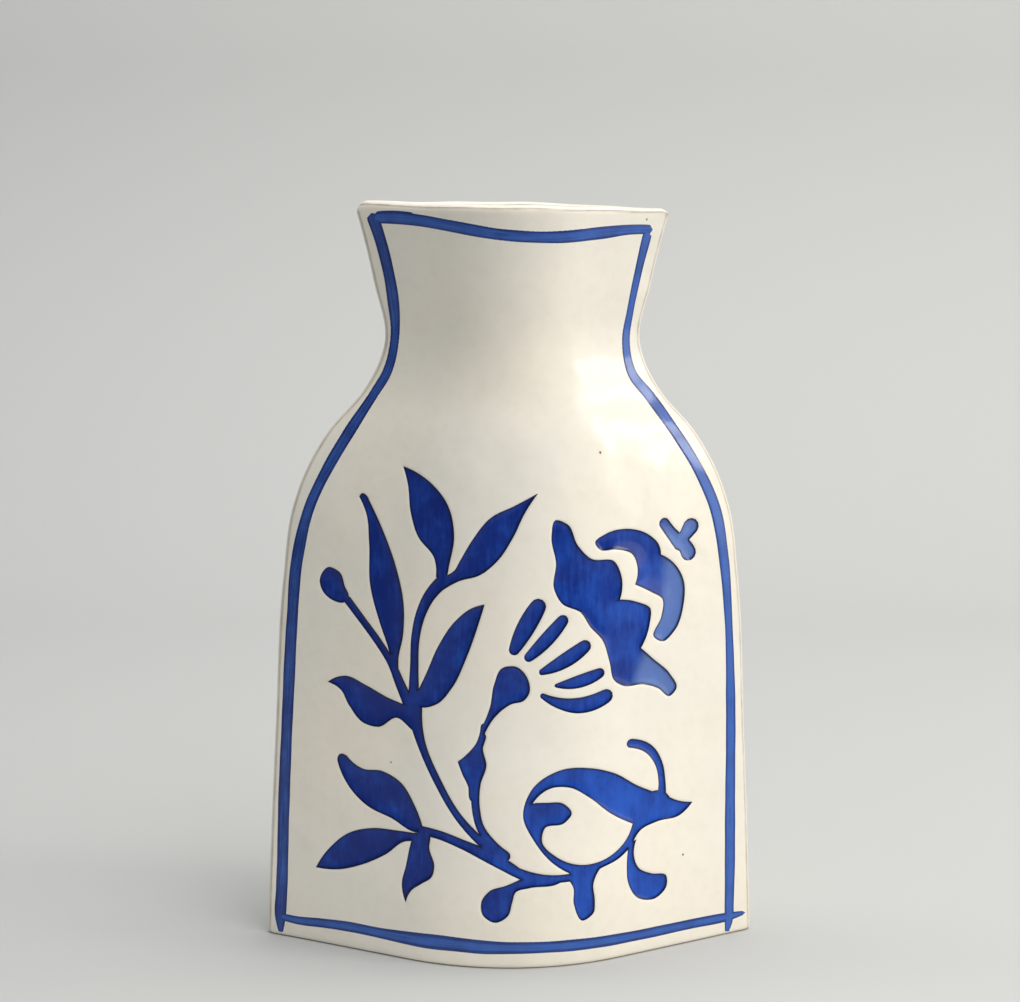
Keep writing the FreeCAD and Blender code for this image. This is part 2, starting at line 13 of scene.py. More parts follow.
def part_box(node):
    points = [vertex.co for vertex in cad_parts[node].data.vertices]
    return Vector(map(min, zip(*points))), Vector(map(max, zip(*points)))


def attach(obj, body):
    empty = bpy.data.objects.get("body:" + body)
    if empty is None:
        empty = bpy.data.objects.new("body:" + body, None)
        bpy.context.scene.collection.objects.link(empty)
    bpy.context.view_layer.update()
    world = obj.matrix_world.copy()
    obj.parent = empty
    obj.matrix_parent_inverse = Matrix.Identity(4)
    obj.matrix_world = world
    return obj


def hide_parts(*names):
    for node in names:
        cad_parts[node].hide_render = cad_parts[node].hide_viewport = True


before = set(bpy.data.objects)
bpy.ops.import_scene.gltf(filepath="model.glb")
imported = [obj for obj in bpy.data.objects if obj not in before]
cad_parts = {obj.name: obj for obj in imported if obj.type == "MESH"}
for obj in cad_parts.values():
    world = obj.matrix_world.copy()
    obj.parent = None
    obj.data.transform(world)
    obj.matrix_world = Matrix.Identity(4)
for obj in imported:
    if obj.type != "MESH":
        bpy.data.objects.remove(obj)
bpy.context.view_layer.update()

MM = 0.001
FRONT, BACK = 1.0, -1.0
WELD = 0.002          # points this near to each other are joined
SLOPE_STEP = 0.05     # for slopes taken by small differences
SHARP = math.radians(40)

# ------------------------------------------------------------------ the form
slab_box = np.array(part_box("front_slab")) / MM
FOOT_HALF = slab_box[1][0]
FOOT_DEEP = -slab_box[0][1]
RIM_LEVEL = slab_box[1][2]
BODY_LEVEL = 0.5 * RIM_LEVEL
NECK_LEVEL = 0.815 * RIM_LEVEL
FOOT = np.array([FOOT_HALF, FOOT_DEEP, 56.0])      # half width, half depth, middle radius
BODY = np.array([61.75, 29.5, 54.0])
NECK = np.array([34.25, 18.5, 28.0])
RIM = np.array([42.0, 21.5, 34.0])
EDGE_ROUND = 2.2
WALL = 4.5
INNER_ROUND = 1.0
FOOT_THICKNESS = 5.0
FOOT_PLAY = 0.05      # between the foot slab and the walls
COIL_RADIUS = 4.0
COIL_SINK = 2.6
COIL_TOP = NECK_LEVEL + 17.0
BRUSH_STEP = 0.8
BRUSH_COLUMNS = 11
BRUSH_RISE = 0.035
BRUSH_DIP = 0.03
BRUSH_BODY = 0.15
BRUSH_SPREAD = 1.22
SHOULDER_RISE = NECK_LEVEL - BODY_LEVEL
NECK_RISE = RIM_LEVEL - NECK_LEVEL

# Levels of the form: height, the profiles it lies between, and how far it has gone from
# the first to the second.
LEVELS = [
    (0.0, FOOT, BODY, 0.0),
    (0.6 * BODY_LEVEL, FOOT, BODY, 0.54),
    (BODY_LEVEL, BODY, NECK, 0.0),
    (BODY_LEVEL + 0.32 * SHOULDER_RISE, BODY, NECK, 0.11),
    (BODY_LEVEL + 0.48 * SHOULDER_RISE, BODY, NECK, 0.25),
    (BODY_LEVEL + 0.64 * SHOULDER_RISE, BODY, NECK, 0.47),
    (BODY_LEVEL + 0.80 * SHOULDER_RISE, BODY, NECK, 0.79),
    (NECK_LEVEL, NECK, RIM, 0.0),
    (NECK_LEVEL + 0.46 * NECK_RISE, NECK, RIM, 0.36),
    (RIM_LEVEL, NECK, RIM, 1.0),
]
LEVEL_HEIGHTS = np.array([height for height, _, _, _ in LEVELS])
LEVEL_SIZES = np.array([start + share * (end - start) for _, start, end, share in LEVELS])


def through(knots, values, where):
    """Smooth curve through the values at the knots: a cubic between each two knots, whose
    slope at a knot is that of the parabola through it and its neighbours."""
    where = np.asarray(where, float)
    gaps = np.diff(knots)[:, None]
    rises = np.diff(values, axis=0) / gaps
    inner = (rises[:-1] * gaps[1:] + rises[1:] * gaps[:-1]) / (gaps[:-1] + gaps[1:])
    slopes = np.vstack([2 * rises[:1] - inner[:1], inner, 2 * rises[-1:] - inner[-1:]])
    cell = np.clip(np.searchsorted(knots, where) - 1, 0, len(knots) - 2)
    gap = gaps[cell]
    t = ((where - knots[cell])[..., None]) / gap
    return (values[cell] * (1 + 2 * t) * (1 - t) ** 2 + values[cell + 1] * t * t * (3 - 2 * t)
            + gap * slopes[cell] * t * (1 - t) ** 2 - gap * slopes[cell + 1] * t * t * (1 - t))


def form(height):
    """Half width, half depth, radius of the bulged middle and slope of the flat flanks.
    A flank touches both the middle's circle and the seam edge's small circle."""
    half, deep, bulge = np.moveaxis(through(LEVEL_HEIGHTS, LEVEL_SIZES, height), -1, 0)
    run = half - EDGE_ROUND
    drop = bulge - deep
    slope = np.arcsin((bulge - EDGE_ROUND) / np.hypot(run, drop)) - np.arctan(drop / run)
    return half, deep, bulge, slope


def seam_start(height, inset=0.0, tip=EDGE_ROUND):
    """Centre and start of the seam edge's rounding, out from the middle plane."""
    half, _, _, slope = form(height)
    centre = half - EDGE_ROUND - (inset + tip - EDGE_ROUND) / np.sin(slope)
    return centre, centre + tip * np.sin(slope)


def unevenness(across, height):
    """Slow swells that hand-beaten slabs keep, a few hundredths to a tenth of a
    millimetre high: a sum of plane waves."""
    waves = [(0.10, 0.055, 0.021, 0.4), (0.08, -0.031, 0.047, 1.9), (0.06, 0.090, -0.038, 3.1),
             (0.05, 0.024, 0.105, 5.0), (0.03, 0.160, 0.070, 0.9)]
    return sum(size * np.sin(kx * across + kz * height + phase)
               for size, kx, kz, phase in waves)


def swell(across, height, inset):
    """The unevenness, which fades from the outer skin to the inner one."""
    return np.clip(1 - inset / WALL, 0, 1) * unevenness(across, height)


def depth_at(across, height, inset=0.0):
    """How far the front surface stands out from the seam plane: the middle's circle, and
    outside it the straight flank."""
    _, deep, bulge, slope = form(height)
    radius = bulge - inset
    far = np.abs(across)
    turn = radius * np.sin(slope)
    arc = np.sqrt(radius ** 2 - np.minimum(far, turn) ** 2) - bulge + deep
    flank = np.maximum(far - turn, 0) * np.tan(slope)
    return arc - flank + swell(across, height, inset)


def skin(across, height, lift=0.0, side=FRONT):
    """Points on the front or back surface, lifted along its normal. The normal is the
    gradient of the depth, taken by small steps."""
    across, height = np.broadcast_arrays(np.asarray(across, float), np.asarray(height, float))
    step = SLOPE_STEP
    depth = depth_at(across, height)
    tilt_x = (depth_at(across + step, height) - depth_at(across - step, height)) / (2 * step)
    tilt_z = (depth_at(across, height + step) - depth_at(across, height - step)) / (2 * step)
    scale = lift / np.sqrt(1 + tilt_x ** 2 + tilt_z ** 2)
    return np.stack([across - tilt_x * scale, -side * (depth + scale), height - tilt_z * scale],
                    axis=-1)


# ------------------------------------------------------------------ meshes
def new_piece(name, points, faces, slot, *nodes, ride=True):
    """A mesh object with its points in metres, which stands for CAD nodes."""
    mesh = bpy.data.meshes.new(name)
    mesh.from_pydata(np.asarray(points) * MM, [], faces)
    mesh.update()
    piece = bpy.data.objects.new(name, mesh)
    bpy.context.scene.collection.objects.link(piece)
    if ride:
        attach(piece, "root")
        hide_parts(*nodes)
    return piece


def smooth(piece):
    for polygon in piece.data.polygons:
        polygon.use_smooth = True


def grid_faces(rows, columns, start=0):
    """Four-cornered faces of a grid whose points are numbered row by row."""
    first = np.arange(rows - 1)[:, None] * columns + np.arange(columns - 1)[None, :] + start
    corners = np.stack([first, first + 1, first + columns + 1, first + columns], -1)
    return [tuple(face) for face in corners.reshape(-1, 4).tolist()]


def tube_faces(rows, columns):
    """Faces of a tube with closed ends: rings of points, numbered ring by ring."""
    ring = np.arange(columns)
    start = np.arange(rows - 1)[:, None] * columns
    corners = [ring, (ring + 1) % columns, (ring + 1) % columns + columns, ring + columns]
    sides = np.stack([start + corner for corner in corners], -1).reshape(-1, 4)
    ends = [tuple(range(columns)), tuple(range((rows - 1) * columns, rows * columns))]
    return [tuple(face) for face in sides.tolist()] + ends


def finished(piece):
    """Joins points that lie in the same place, turns every face outwards, and shades the
    surface smooth except over sharp folds."""
    work = bmesh.new()
    work.from_mesh(piece.data)
    bmesh.ops.remove_doubles(work, verts=work.verts, dist=WELD * MM)
    bmesh.ops.recalc_face_normals(work, faces=work.faces)
    work.to_mesh(piece.data)
    work.free()
    smooth(piece)
    piece.data.set_sharp_from_angle(angle=SHARP)
    return piece


def give(piece, name, values):
    """A named number for every point of the mesh."""
    layer = piece.data.attributes.new(name, "FLOAT", "POINT")
    layer.data.foreach_set("value", np.asarray(values, np.float32))


def places(piece):
    """The mesh's points in millimetres."""
    flat = np.empty(len(piece.data.vertices) * 3)
    piece.data.vertices.foreach_get("co", flat)
    return flat.reshape(-1, 3) / MM


# ------------------------------------------------------------------ outlines of the motif
# Drawn face on, in millimetres on a board as wide as the foot and as high as the neck.
BOARD_WIDTH = 134.0
BOARD_HEIGHT = 163.0
STRETCH = np.array([2 * FOOT_HALF / BOARD_WIDTH, NECK_LEVEL / BOARD_HEIGHT])
SAMPLE = 0.5          # between the points of an outline
END_STEPS = 7         # round a stroke's end
FINE = 40             # steps per given point when a curve's length is measured


def along(points, spacing=SAMPLE):
    """Evenly spaced points on a smooth curve through the given ones."""
    points = np.asarray(points, float)
    if len(points) == 2:
        points = np.array([points[0], points.mean(0), points[1]])
    reach = np.concatenate([[0], np.cumsum(np.linalg.norm(np.diff(points, axis=0), axis=1))])
    fine = through(reach, points, np.linspace(0, reach[-1], FINE * len(points)))
    length = np.concatenate([[0], np.cumsum(np.linalg.norm(np.diff(fine, axis=0), axis=1))])
    count = max(2, int(round(length[-1] / spacing)) + 1)
    even = np.linspace(0, length[-1], count)
    return np.stack([np.interp(even, length, fine[:, axis]) for axis in (0, 1)], -1)


def outline(*runs):
    """A closed outline of smooth runs that meet at corners. Each run starts where the one
    before it ends, and the last one closes the outline."""
    closed = [list(run) + [runs[(place + 1) % len(runs)][0]] for place, run in enumerate(runs)]
    return np.concatenate([along(run)[:-1] for run in closed]) * STRETCH


def smooth_loop(points):
    """One closed smooth curve: it runs past its ends by three points, which are cut off."""
    wrapped = points[-3:] + points + points[:4]
    whole = along(wrapped, SAMPLE / 5)
    away = np.linalg.norm(whole - points[0], axis=1)
    half = len(whole) // 2
    return whole[away[:half].argmin():half + away[half:].argmin():5] * STRETCH


def stroke_edges(path, widths, spacing=SAMPLE):
    """Middle, direction across and half width along a stroke of varying width."""
    path = np.asarray(path, float)
    middle = along(path, spacing)
    reach = np.concatenate([[0], np.cumsum(np.linalg.norm(np.diff(middle, axis=0), axis=1))])
    knots = [reach[np.argmin(np.linalg.norm(middle - point, axis=1))] for point in path]
    half = 0.5 * through(np.array(knots), np.asarray(widths, float)[:, None], reach)[:, 0]
    forward = np.gradient(middle, axis=0)
    forward /= np.linalg.norm(forward, axis=1)[:, None]
    return middle, np.stack([-forward[:, 1], forward[:, 0]], -1), forward, half, reach


def stem(path, *widths):
    """A stroke's outline with half-round ends."""
    path = [np.asarray(point) * STRETCH for point in path]
    middle, across, forward, half, _ = stroke_edges(path, widths)
    turn = np.linspace(0, np.pi, END_STEPS)[1:-1, None]
    end = middle[-1] + half[-1] * (np.cos(turn) * across[-1] + np.sin(turn) * forward[-1])
    start = middle[0] - half[0] * (np.cos(turn) * across[0] + np.sin(turn) * forward[0])
    return np.concatenate([middle + across * half[:, None], end,
                           (middle - across * half[:, None])[::-1], start])


def leaves():
    """The eight leaves of the sprig, each from its root up one side to the tip and back
    down the other, and the bud, the calyx and the diamond-shaped swelling."""
    return [
        outline([(-20.6, 104.5), (-21, 109.3), (-25.3, 114.8), (-27.1, 120.5), (-28, 128.5)],
                [(-29.1, 132.4), (-22.5, 129.2), (-17.6, 123.5), (-15.9, 115.5),
                 (-17.3, 107)],
                [(-18, 103)]),
        outline([(-18.4, 104.9), (-15.9, 106.4), (-14.3, 109.2), (-11.3, 114.4),
                 (-6.5, 120.4), (0, 123.7)],
                [(5.8, 126.7), (2.3, 121.5), (-0.5, 115.7), (-4.7, 109.3), (-9.5, 105.4),
                 (-14.5, 103.8)],
                [(-19, 101)]),
        outline([(-32, 79.5), (-33.2, 84.5), (-35.4, 90.9), (-37.9, 100.4), (-38.2, 112),
                 (-39, 119.7)],
                [(-40.8, 123.6), (-40, 124.6), (-38.8, 124)],
                [(-38.2, 122.9), (-34.3, 114.9), (-31.2, 106.5), (-29.1, 96.5), (-29.3, 88),
                 (-30.5, 81.5), (-30.2, 77), (-28.3, 73)]),
        smooth_loop([(-45, 95.2), (-48, 95.4), (-50.6, 97.3), (-51.6, 100.6), (-49.1, 104.2),
                     (-46.1, 103), (-44.8, 99.5), (-43.8, 96.8)]),
        outline([(-25.5, 73.5), (-23.2, 78.6), (-20, 86.3), (-15.4, 93.4), (-11.3, 96.8)],
                [(-8, 97.9), (-9.6, 92.5), (-12.6, 83.8), (-16.5, 75.3), (-20.5, 70.7),
                 (-25, 69.6)],
                [(-27, 71)]),
        outline([(-28, 69.5), (-32.7, 70.7), (-39.2, 73.5), (-44.5, 75.3)],
                [(-49.6, 73), (-46.2, 71.5), (-43.8, 67.4), (-40, 63.2), (-36, 62.6),
                 (-30.8, 65.8), (-26.5, 63)]),
        outline([(-24, 36.5), (-26.4, 43), (-30, 48.4), (-34.9, 50.7), (-40.3, 50.6)],
                [(-44.6, 53.5), (-46.3, 53.7), (-47.1, 52.2)],
                [(-47, 51.5), (-43.6, 44.7), (-38.8, 40.5), (-32.8, 38.4), (-25, 35.8)]),
        outline([(-24.5, 35.2), (-31, 35.1), (-37.3, 34.7), (-43.8, 32.4), (-49.2, 27.4)],
                [(-53.2, 21.1), (-47.1, 21.6), (-40.5, 24.1), (-34.1, 28), (-28.5, 32.6)],
                [(-25, 33)]),
        outline([(-26.5, 35.2), (-27.5, 31.5), (-28.5, 26.3), (-29.7, 20.3)],
                [(-28.7, 15.8), (-27.2, 19.3), (-24.5, 21.6), (-21.8, 23.8), (-21.1, 27),
                 (-22.4, 31.5), (-22.3, 35.5)]),
        outline([(-8.9, 64.8), (-6.5, 70.8), (-5.4, 77), (-3.4, 81.2), (0.2, 81.6),
                 (3.3, 78.4), (3.7, 74.4), (2.4, 72.6), (-1, 71.6), (-4.6, 68.8)],
                [(-7.5, 64.3)]),
        outline([(-8.8, 64), (-9.7, 61.6), (-11.2, 59.4)],
                [(-14.9, 55.8), (-13.7, 52.6), (-12.2, 49.4), (-11.4, 45.5)],
                [(-9.2, 45.5), (-8.9, 50), (-7.4, 55.2), (-8.3, 59.5), (-7.8, 63.5)]),
    ]


def stems():
    """The stems that join the leaves, and the trunk that they run into."""
    return [
        stem([(-44.1, 96), (-40.2, 91.2), (-36, 85.9), (-32.5, 80.7), (-30, 75), (-27.5, 69.5)],
             2.1, 2, 2, 2.1, 2.6, 3.2),
        stem([(-19.3, 103), (-22, 99.8), (-24.6, 94.3), (-25.9, 88.5), (-26.3, 80), (-26.4, 69)],
             3.4, 3, 2.5, 2.2, 2.2, 3.4),
        stem([(-26.4, 69), (-24.7, 60.5), (-20.4, 50.4), (-14.1, 40.1), (-5, 31.8)],
             4.4, 2.4, 2, 2, 3),
        stem([(-8.1, 65.5), (-8.4, 63.9), (-9.2, 60.5)], 1.6, 1.4, 2),
        stem([(-10.3, 47), (-10.1, 43.3), (-8.9, 38.3), (-6.2, 34.4), (-2.5, 30.8)],
             2.2, 2.1, 2.1, 2.4, 3),
        stem([(-24.3, 36.2), (-19.5, 35.5), (-13.7, 33.6), (-6.4, 30.5), (0.4, 26.6)],
             2.4, 2.4, 2.6, 3.4, 2.8),
        stem([(0, 26.8), (4.1, 25.1), (9.3, 24.3), (19, 24.8)], 2.6, 2.8, 2.2, 2.4),
    ]


def scroll():
    """The scroll that the trunk ends in, the curl above it and three drops below."""
    return [
        outline([(14.5, 25.6), (10, 28.8), (5.5, 34.4), (2.3, 41.8), (4.9, 49.1),
                 (12.5, 53.6), (20.1, 53.4), (26.7, 51.2), (33.5, 46.6)],
                [(37.6, 44.4), (40.5, 44)],
                [(42.6, 41.9), (45.5, 40.4)],
                [(49.2, 39.5), (45.6, 36.5), (38.7, 35.8), (34.2, 34.2)],
                [(32.2, 31), (28.5, 27.8), (23, 25.7), (18, 23.5)]),
        stem([(40.3, 43), (40.3, 47), (39.5, 51.3), (36.4, 56.2), (31.4, 58.5)],
             2.4, 1.9, 2, 2.4, 2.4),
        outline([(31.1, 31), (30.6, 25), (31, 20.5), (34, 15.6), (38.6, 14.6), (41.9, 17.3),
                 (41.8, 20.4), (37.5, 21.8), (34, 23.9), (32.5, 28)],
                [(33.2, 32)]),
        outline([(13, 25), (15.8, 21.5), (16, 17), (18.5, 12.1), (21.4, 13.9), (21.7, 17),
                 (21.3, 22)],
                [(23.4, 26.2)]),
        outline([(14.5, 24.5), (11.5, 22.8), (4.1, 22.1), (0.4, 21), (-0.5, 18.2), (-1.6, 14.6),
                 (-5.1, 12.7), (-8.2, 14.6), (-8.6, 18.3), (-6.4, 21.3), (-2.2, 22.8)],
                [(1.5, 24.5)]),
    ]


def scroll_eye():
    """The cream hole inside the scroll."""
    return outline([(4.8, 45), (9.9, 48.9), (14.6, 48.7), (20.1, 45.4), (26, 40.3)],
                   [(32.1, 36.5), (30.3, 32.4), (25.2, 28.4), (18, 27.4), (11.6, 29.9), (7.3, 34.8),
                    (8.1, 38.2), (13.2, 39.2), (15.2, 41.6), (12.9, 44.5), (8.4, 45)])


FAN = [
    ([(-0.2, 86.1), (2.6, 91.6), (5.9, 97.3)], (2.9, 4.8, 4.3)),
    ([(3.6, 84.1), (8.6, 89), (12.4, 93.4)], (2.5, 3.8, 3.1)),
    ([(7.1, 80.1), (13.4, 83), (18.3, 86.2)], (1.7, 4, 3.5)),
    ([(10.9, 76.3), (16.9, 77), (22.4, 78.7)], (1, 3.4, 2.8)),
    ([(7.3, 73.7), (11.6, 71.6), (16.6, 70.6), (24.2, 72.3)], (1.4, 2.9, 4.1, 3.9)),
]


def tulip_petal():
    return outline([(27.9, 97.7), (32.7, 96.5), (36.4, 94.3), (36.3, 90.5)],
                   [(33.9, 84), (37.4, 80.6), (42.1, 76), (44.1, 71.6), (42.3, 69.8),
                    (38.9, 72.4), (34.5, 74.1), (29.3, 74.4), (26.6, 76.2), (25.2, 81.3),
                    (23, 87.7), (19.9, 91.2), (17.3, 95.2), (12.2, 98), (10.1, 102),
                    (10.6, 108.5), (9.4, 115.5), (10.4, 119.7), (13.6, 118.5), (16.3, 113),
                    (20, 109.2), (26.2, 108), (28.2, 104)])


def scalloped_petal():
    return outline([(39.3, 108.4), (43.1, 105.6), (45.8, 100.9), (45.9, 94.5), (43.3, 87.4),
                    (40, 85), (37.5, 86.6), (39.6, 91.8), (39.8, 96.5), (36.8, 98.6)],
                   [(32.1, 101.2), (32.8, 105), (31.2, 109.4), (26.6, 111.1), (22.2, 111.5),
                    (21, 113.3), (24.1, 115.5), (29.6, 116.2), (35.4, 114.3), (38.8, 110.8)])


def trefoil():
    return [stem([(40.2, 116.6), (42.1, 114), (44.9, 110.9)], 2.9, 3.1, 4.2),
            stem([(47.8, 115), (46.9, 113.8), (45.2, 111.6)], 4.5, 4, 3),
            stem([(47.2, 108), (46.6, 109.2), (45.2, 111.2)], 4.2, 4, 3.4)]


# Every carved piece: the outlines that make it up together, and those cut out of it.
MOTIF = {"sprig": (leaves() + stems() + scroll(), [scroll_eye()])}
for number, (path, widths) in enumerate(FAN, 1):
    MOTIF[f"petal_{number}"] = ([stem(path, *widths)], [])
MOTIF["tulip_petal"] = ([tulip_petal()], [])
MOTIF["scalloped_petal"] = ([scalloped_petal()], [])
MOTIF["trefoil"] = (trefoil(), [])


def inside(points, loop):
    """Which points lie inside a closed outline: an upward line from them crosses it an odd
    number of times. Only points in the outline's box are tested."""
    found = np.zeros(len(points), bool)
    low, high = loop.min(0), loop.max(0)
    near = np.nonzero(((points >= low) & (points <= high)).all(1))[0]
    start, end = loop, np.roll(loop, -1, axis=0)
    x, z = points[near, 0][:, None], points[near, 1][:, None]
    spans = (start[:, 0] <= x) != (end[:, 0] <= x)
    run = np.where(end[:, 0] == start[:, 0], 1, end[:, 0] - start[:, 0])
    rise = start[:, 1] + (x - start[:, 0]) * (end[:, 1] - start[:, 1]) / run
    found[near] = ((spans & (rise > z)).sum(1) % 2).astype(bool)
    return found


def piece_of(points):
    """The number of the carved piece that each point lies in, or -1."""
    number = np.full(len(points), -1)
    for place, (solids, holes) in enumerate(MOTIF.values()):
        within = np.any([inside(points, loop) for loop in solids], axis=0)
        for hole in holes:
            within &= ~inside(points, hole)
        number[within] = place
    return number


BLOCK = 2000


def nearest_edge(points, edges):
    """Distance to the nearest of the edges, and the direction to it, in blocks that keep
    the arrays small. Edges are pairs of end points."""
    start, run = edges[:, 0], edges[:, 1] - edges[:, 0]
    length2 = np.maximum((run ** 2).sum(1), 1e-12)
    distance = np.empty(len(points))
    towards = np.empty((len(points), 2))
    for first in range(0, len(points), BLOCK):
        block = points[first:first + BLOCK, None]
        share = np.clip(((block - start) * run).sum(2) / length2, 0, 1)
        gap = start + share[..., None] * run - block
        square = (gap ** 2).sum(2)
        best = square.argmin(1)
        pick = np.arange(len(best))
        distance[first:first + BLOCK] = np.sqrt(square[pick, best])
        towards[first:first + BLOCK] = gap[pick, best]
    return distance, towards


SAME_POINT = 1e-5


def triangulate(points, edges):
    """Delaunay triangles over the points that keep the edges."""
    made = delaunay_2d_cdt([Vector(point) for point in points], edges, [], 0, SAME_POINT)
    return (np.array([tuple(point) for point in made[0]]), np.array(made[1]),
            np.array(made[2]), made[3])


def closed_edges(count, start):
    return [(start + place, start + (place + 1) % count) for place in range(count)]


def motif_boundary():
    """The edges where carved clay meets plain clay. All outlines are triangulated
    together, which cuts them where they cross; an edge between a triangle inside a piece
    and one outside it is on the boundary."""
    far = 2 * RIM_LEVEL
    loops = [loop for solids, holes in MOTIF.values() for loop in solids + holes]
    loops.append(np.array([(-far, -far), (far, -far), (far, far), (-far, far)]))
    starts = np.cumsum([0] + [len(loop) for loop in loops])
    edges = sum([closed_edges(len(loop), int(start)) for loop, start in zip(loops, starts)], [])
    points, _, triangles, _ = triangulate(np.concatenate(loops), edges)
    number = piece_of(points[triangles].mean(1))
    sides = np.concatenate([triangles[:, [0, 1]], triangles[:, [1, 2]], triangles[:, [2, 0]]])
    owner = np.tile(number, 3)
    order = np.lexsort((np.sort(sides, 1)[:, 1], np.sort(sides, 1)[:, 0]))
    sides, owner = np.sort(sides, 1)[order], owner[order]
    twin = (sides[1:] == sides[:-1]).all(1) & (owner[1:] != owner[:-1])
    return points, sides[:-1][twin]


# ------------------------------------------------------------------ the carved skin
POOL_EDGE = 0.06      # how far under the clay the glaze pools start
DISH = 0.5            # how much deeper they are at their middle
DISH_REACH = 1.1      # how fast they deepen in from their edge
CHAMFER = 0.16        # how far the clay's edge is softened down
CHAMFER_REACH = 0.45  # and how far in from the edge
GLAZE = 0.35          # thickness of the glaze pools
FLOOR_GAP = 0.02      # between a pool's underside and the clay
POOL_SPREAD = 0.5     # how far the darkest glaze reaches in from an edge: pooled glaze, with painted shade on some edges
PAINTED_SHADE_SIDE = np.array([0.85, -0.53])     # towards the edges where it is widest: painted shade on the right and lower edges, whose recess walls face away from the light
PAINTED_LIGHT_START = -22.0    # painted light: left of this line the cobalt is darkest
PAINTED_LIGHT_RUN = 50.0       # and this far right of it lightest, towards the light on the right
PAINTED_LIGHT_CHANGE = 62.0    # above this height it is lightened only by
PAINTED_LIGHT_HIGH = 0.45
REFLECTION_START = 36.5     # painted reflection: right of a leaning line, above the change, the cobalt is painted pale
REFLECTION_LEVEL = 90.0
REFLECTION_LEAN = 0.4
REFLECTION_LAST = 39.0
REFLECTION_RUN = 3.0
SKIN_PITCH = 1.4      # of the lattice of points
ROW_RISE = 0.866      # between its rows, for even triangles
ROW_GAPS = (0.25, 0.6, 1.1)       # of the rows of points beside a carved edge
ROW_SHARE = 0.93      # a point nearer than this share of its gap is dropped
ROW_SPREAD = 0.36     # and so is one that shares a square this wide
RIM_CLEAR = 0.8       # between the lattice and the skin's rim
EDGE_CLEAR = 1.6      # and between the lattice and a carved edge
COLUMNS = 97
ROWS = 121
TIP_STEPS = 6         # round a seam edge
LIP_STEPS = 15
FOOT_STEPS = 5
LIP_SHAPE = 0.8       # below 1 the rim is fuller than a half circle
CORNER_WIDE = 3.4
CORNER_DROP = 1.5
CORNER_IN = 1.7
SKIN_LOW = 1.2
SKIN_HIGH = RIM_LEVEL - 2.0


def pool_lift(distance):
    """Height of a glaze pool's top: it falls away from the edge like a shallow dish."""
    return -POOL_EDGE - DISH * (1 - np.exp(-distance / DISH_REACH))


def clay_lift(distance):
    """Height of the clay beside a recess: a soft edge."""
    return -CHAMFER * np.clip(1 - distance / CHAMFER_REACH, 0, 1) ** 2


def side_levels():
    return np.linspace(SKIN_LOW, SKIN_HIGH, ROWS)


def skin_columns(height):
    """Where the columns of points cross a height, from seam rounding to seam rounding."""
    return np.linspace(-1, 1, COLUMNS) * seam_start(height)[1]


def carved_skin():
    """Triangles over the front between the seam roundings, as points of the seam plane,
    with the distance to the nearest carved edge and the piece that each triangle is in.
    Rows of points follow the carved edges on both sides, and an even lattice fills the
    rest."""
    points, edges = motif_boundary()
    ends = points[edges]
    run = ends[:, 1] - ends[:, 0]
    middle = ends.mean(1)
    normal = np.stack([-run[:, 1], run[:, 0]], -1) / np.linalg.norm(run, axis=1)[:, None]
    rows = [middle + side * gap * normal for gap in ROW_GAPS for side in (-1, 1)]
    gaps = np.repeat(ROW_GAPS, 2 * len(middle))
    rows = np.concatenate(rows)
    away, _ = nearest_edge(rows, ends)
    rows = rows[away > ROW_SHARE * gaps]
    _, keep = np.unique(np.round(rows / ROW_SPREAD), axis=0, return_index=True)
    rows = rows[np.sort(keep)]

    levels = side_levels()
    across = np.arange(-FOOT_HALF, FOOT_HALF, SKIN_PITCH)
    up = np.arange(SKIN_LOW, SKIN_HIGH, SKIN_PITCH * ROW_RISE)
    lattice = np.stack(np.meshgrid(across, up), -1)
    lattice[1::2, :, 0] += SKIN_PITCH / 2
    lattice = lattice.reshape(-1, 2)
    reach = seam_start(lattice[:, 1])[1]
    free = ((np.abs(lattice[:, 0]) < reach - RIM_CLEAR) & (lattice[:, 1] > SKIN_LOW + RIM_CLEAR)
            & (lattice[:, 1] < SKIN_HIGH - RIM_CLEAR))
    lattice = lattice[free]
    away, _ = nearest_edge(lattice, ends)
    lattice = lattice[away > EDGE_CLEAR]

    right = np.stack([seam_start(levels)[1], levels], -1)
    top = np.stack([skin_columns(SKIN_HIGH), np.full(COLUMNS, SKIN_HIGH)], -1)
    foot = np.stack([skin_columns(SKIN_LOW), np.full(COLUMNS, SKIN_LOW)], -1)
    rim = np.concatenate([foot, right[1:-1], top[::-1], (right[1:-1] * [-1, 1])[::-1]])
    used, local = np.unique(edges, return_inverse=True)
    local = local.reshape(edges.shape)
    start = len(used)
    everything = np.concatenate([points[used], rim, rows, lattice])
    constraint = [tuple(map(int, edge)) for edge in local] + closed_edges(len(rim), start)
    spots, _, triangles, _ = triangulate(everything, constraint)
    centre = spots[triangles].mean(1)
    inside_panel = ((np.abs(centre[:, 0]) < seam_start(centre[:, 1])[1])
                    & (centre[:, 1] > SKIN_LOW) & (centre[:, 1] < SKIN_HIGH))
    triangles = triangles[inside_panel]
    number = piece_of(spots[triangles].mean(1))
    distance, towards = nearest_edge(spots, ends)
    return spots, triangles, number, distance, towards


def border_of(triangles):
    """Edges that only one of the triangles has, in its direction."""
    sides = np.concatenate([triangles[:, [0, 1]], triangles[:, [1, 2]], triangles[:, [2, 0]]])
    key = np.sort(sides, 1)
    _, first, count = np.unique(key, axis=0, return_index=True, return_counts=True)
    return sides[first[count == 1]]


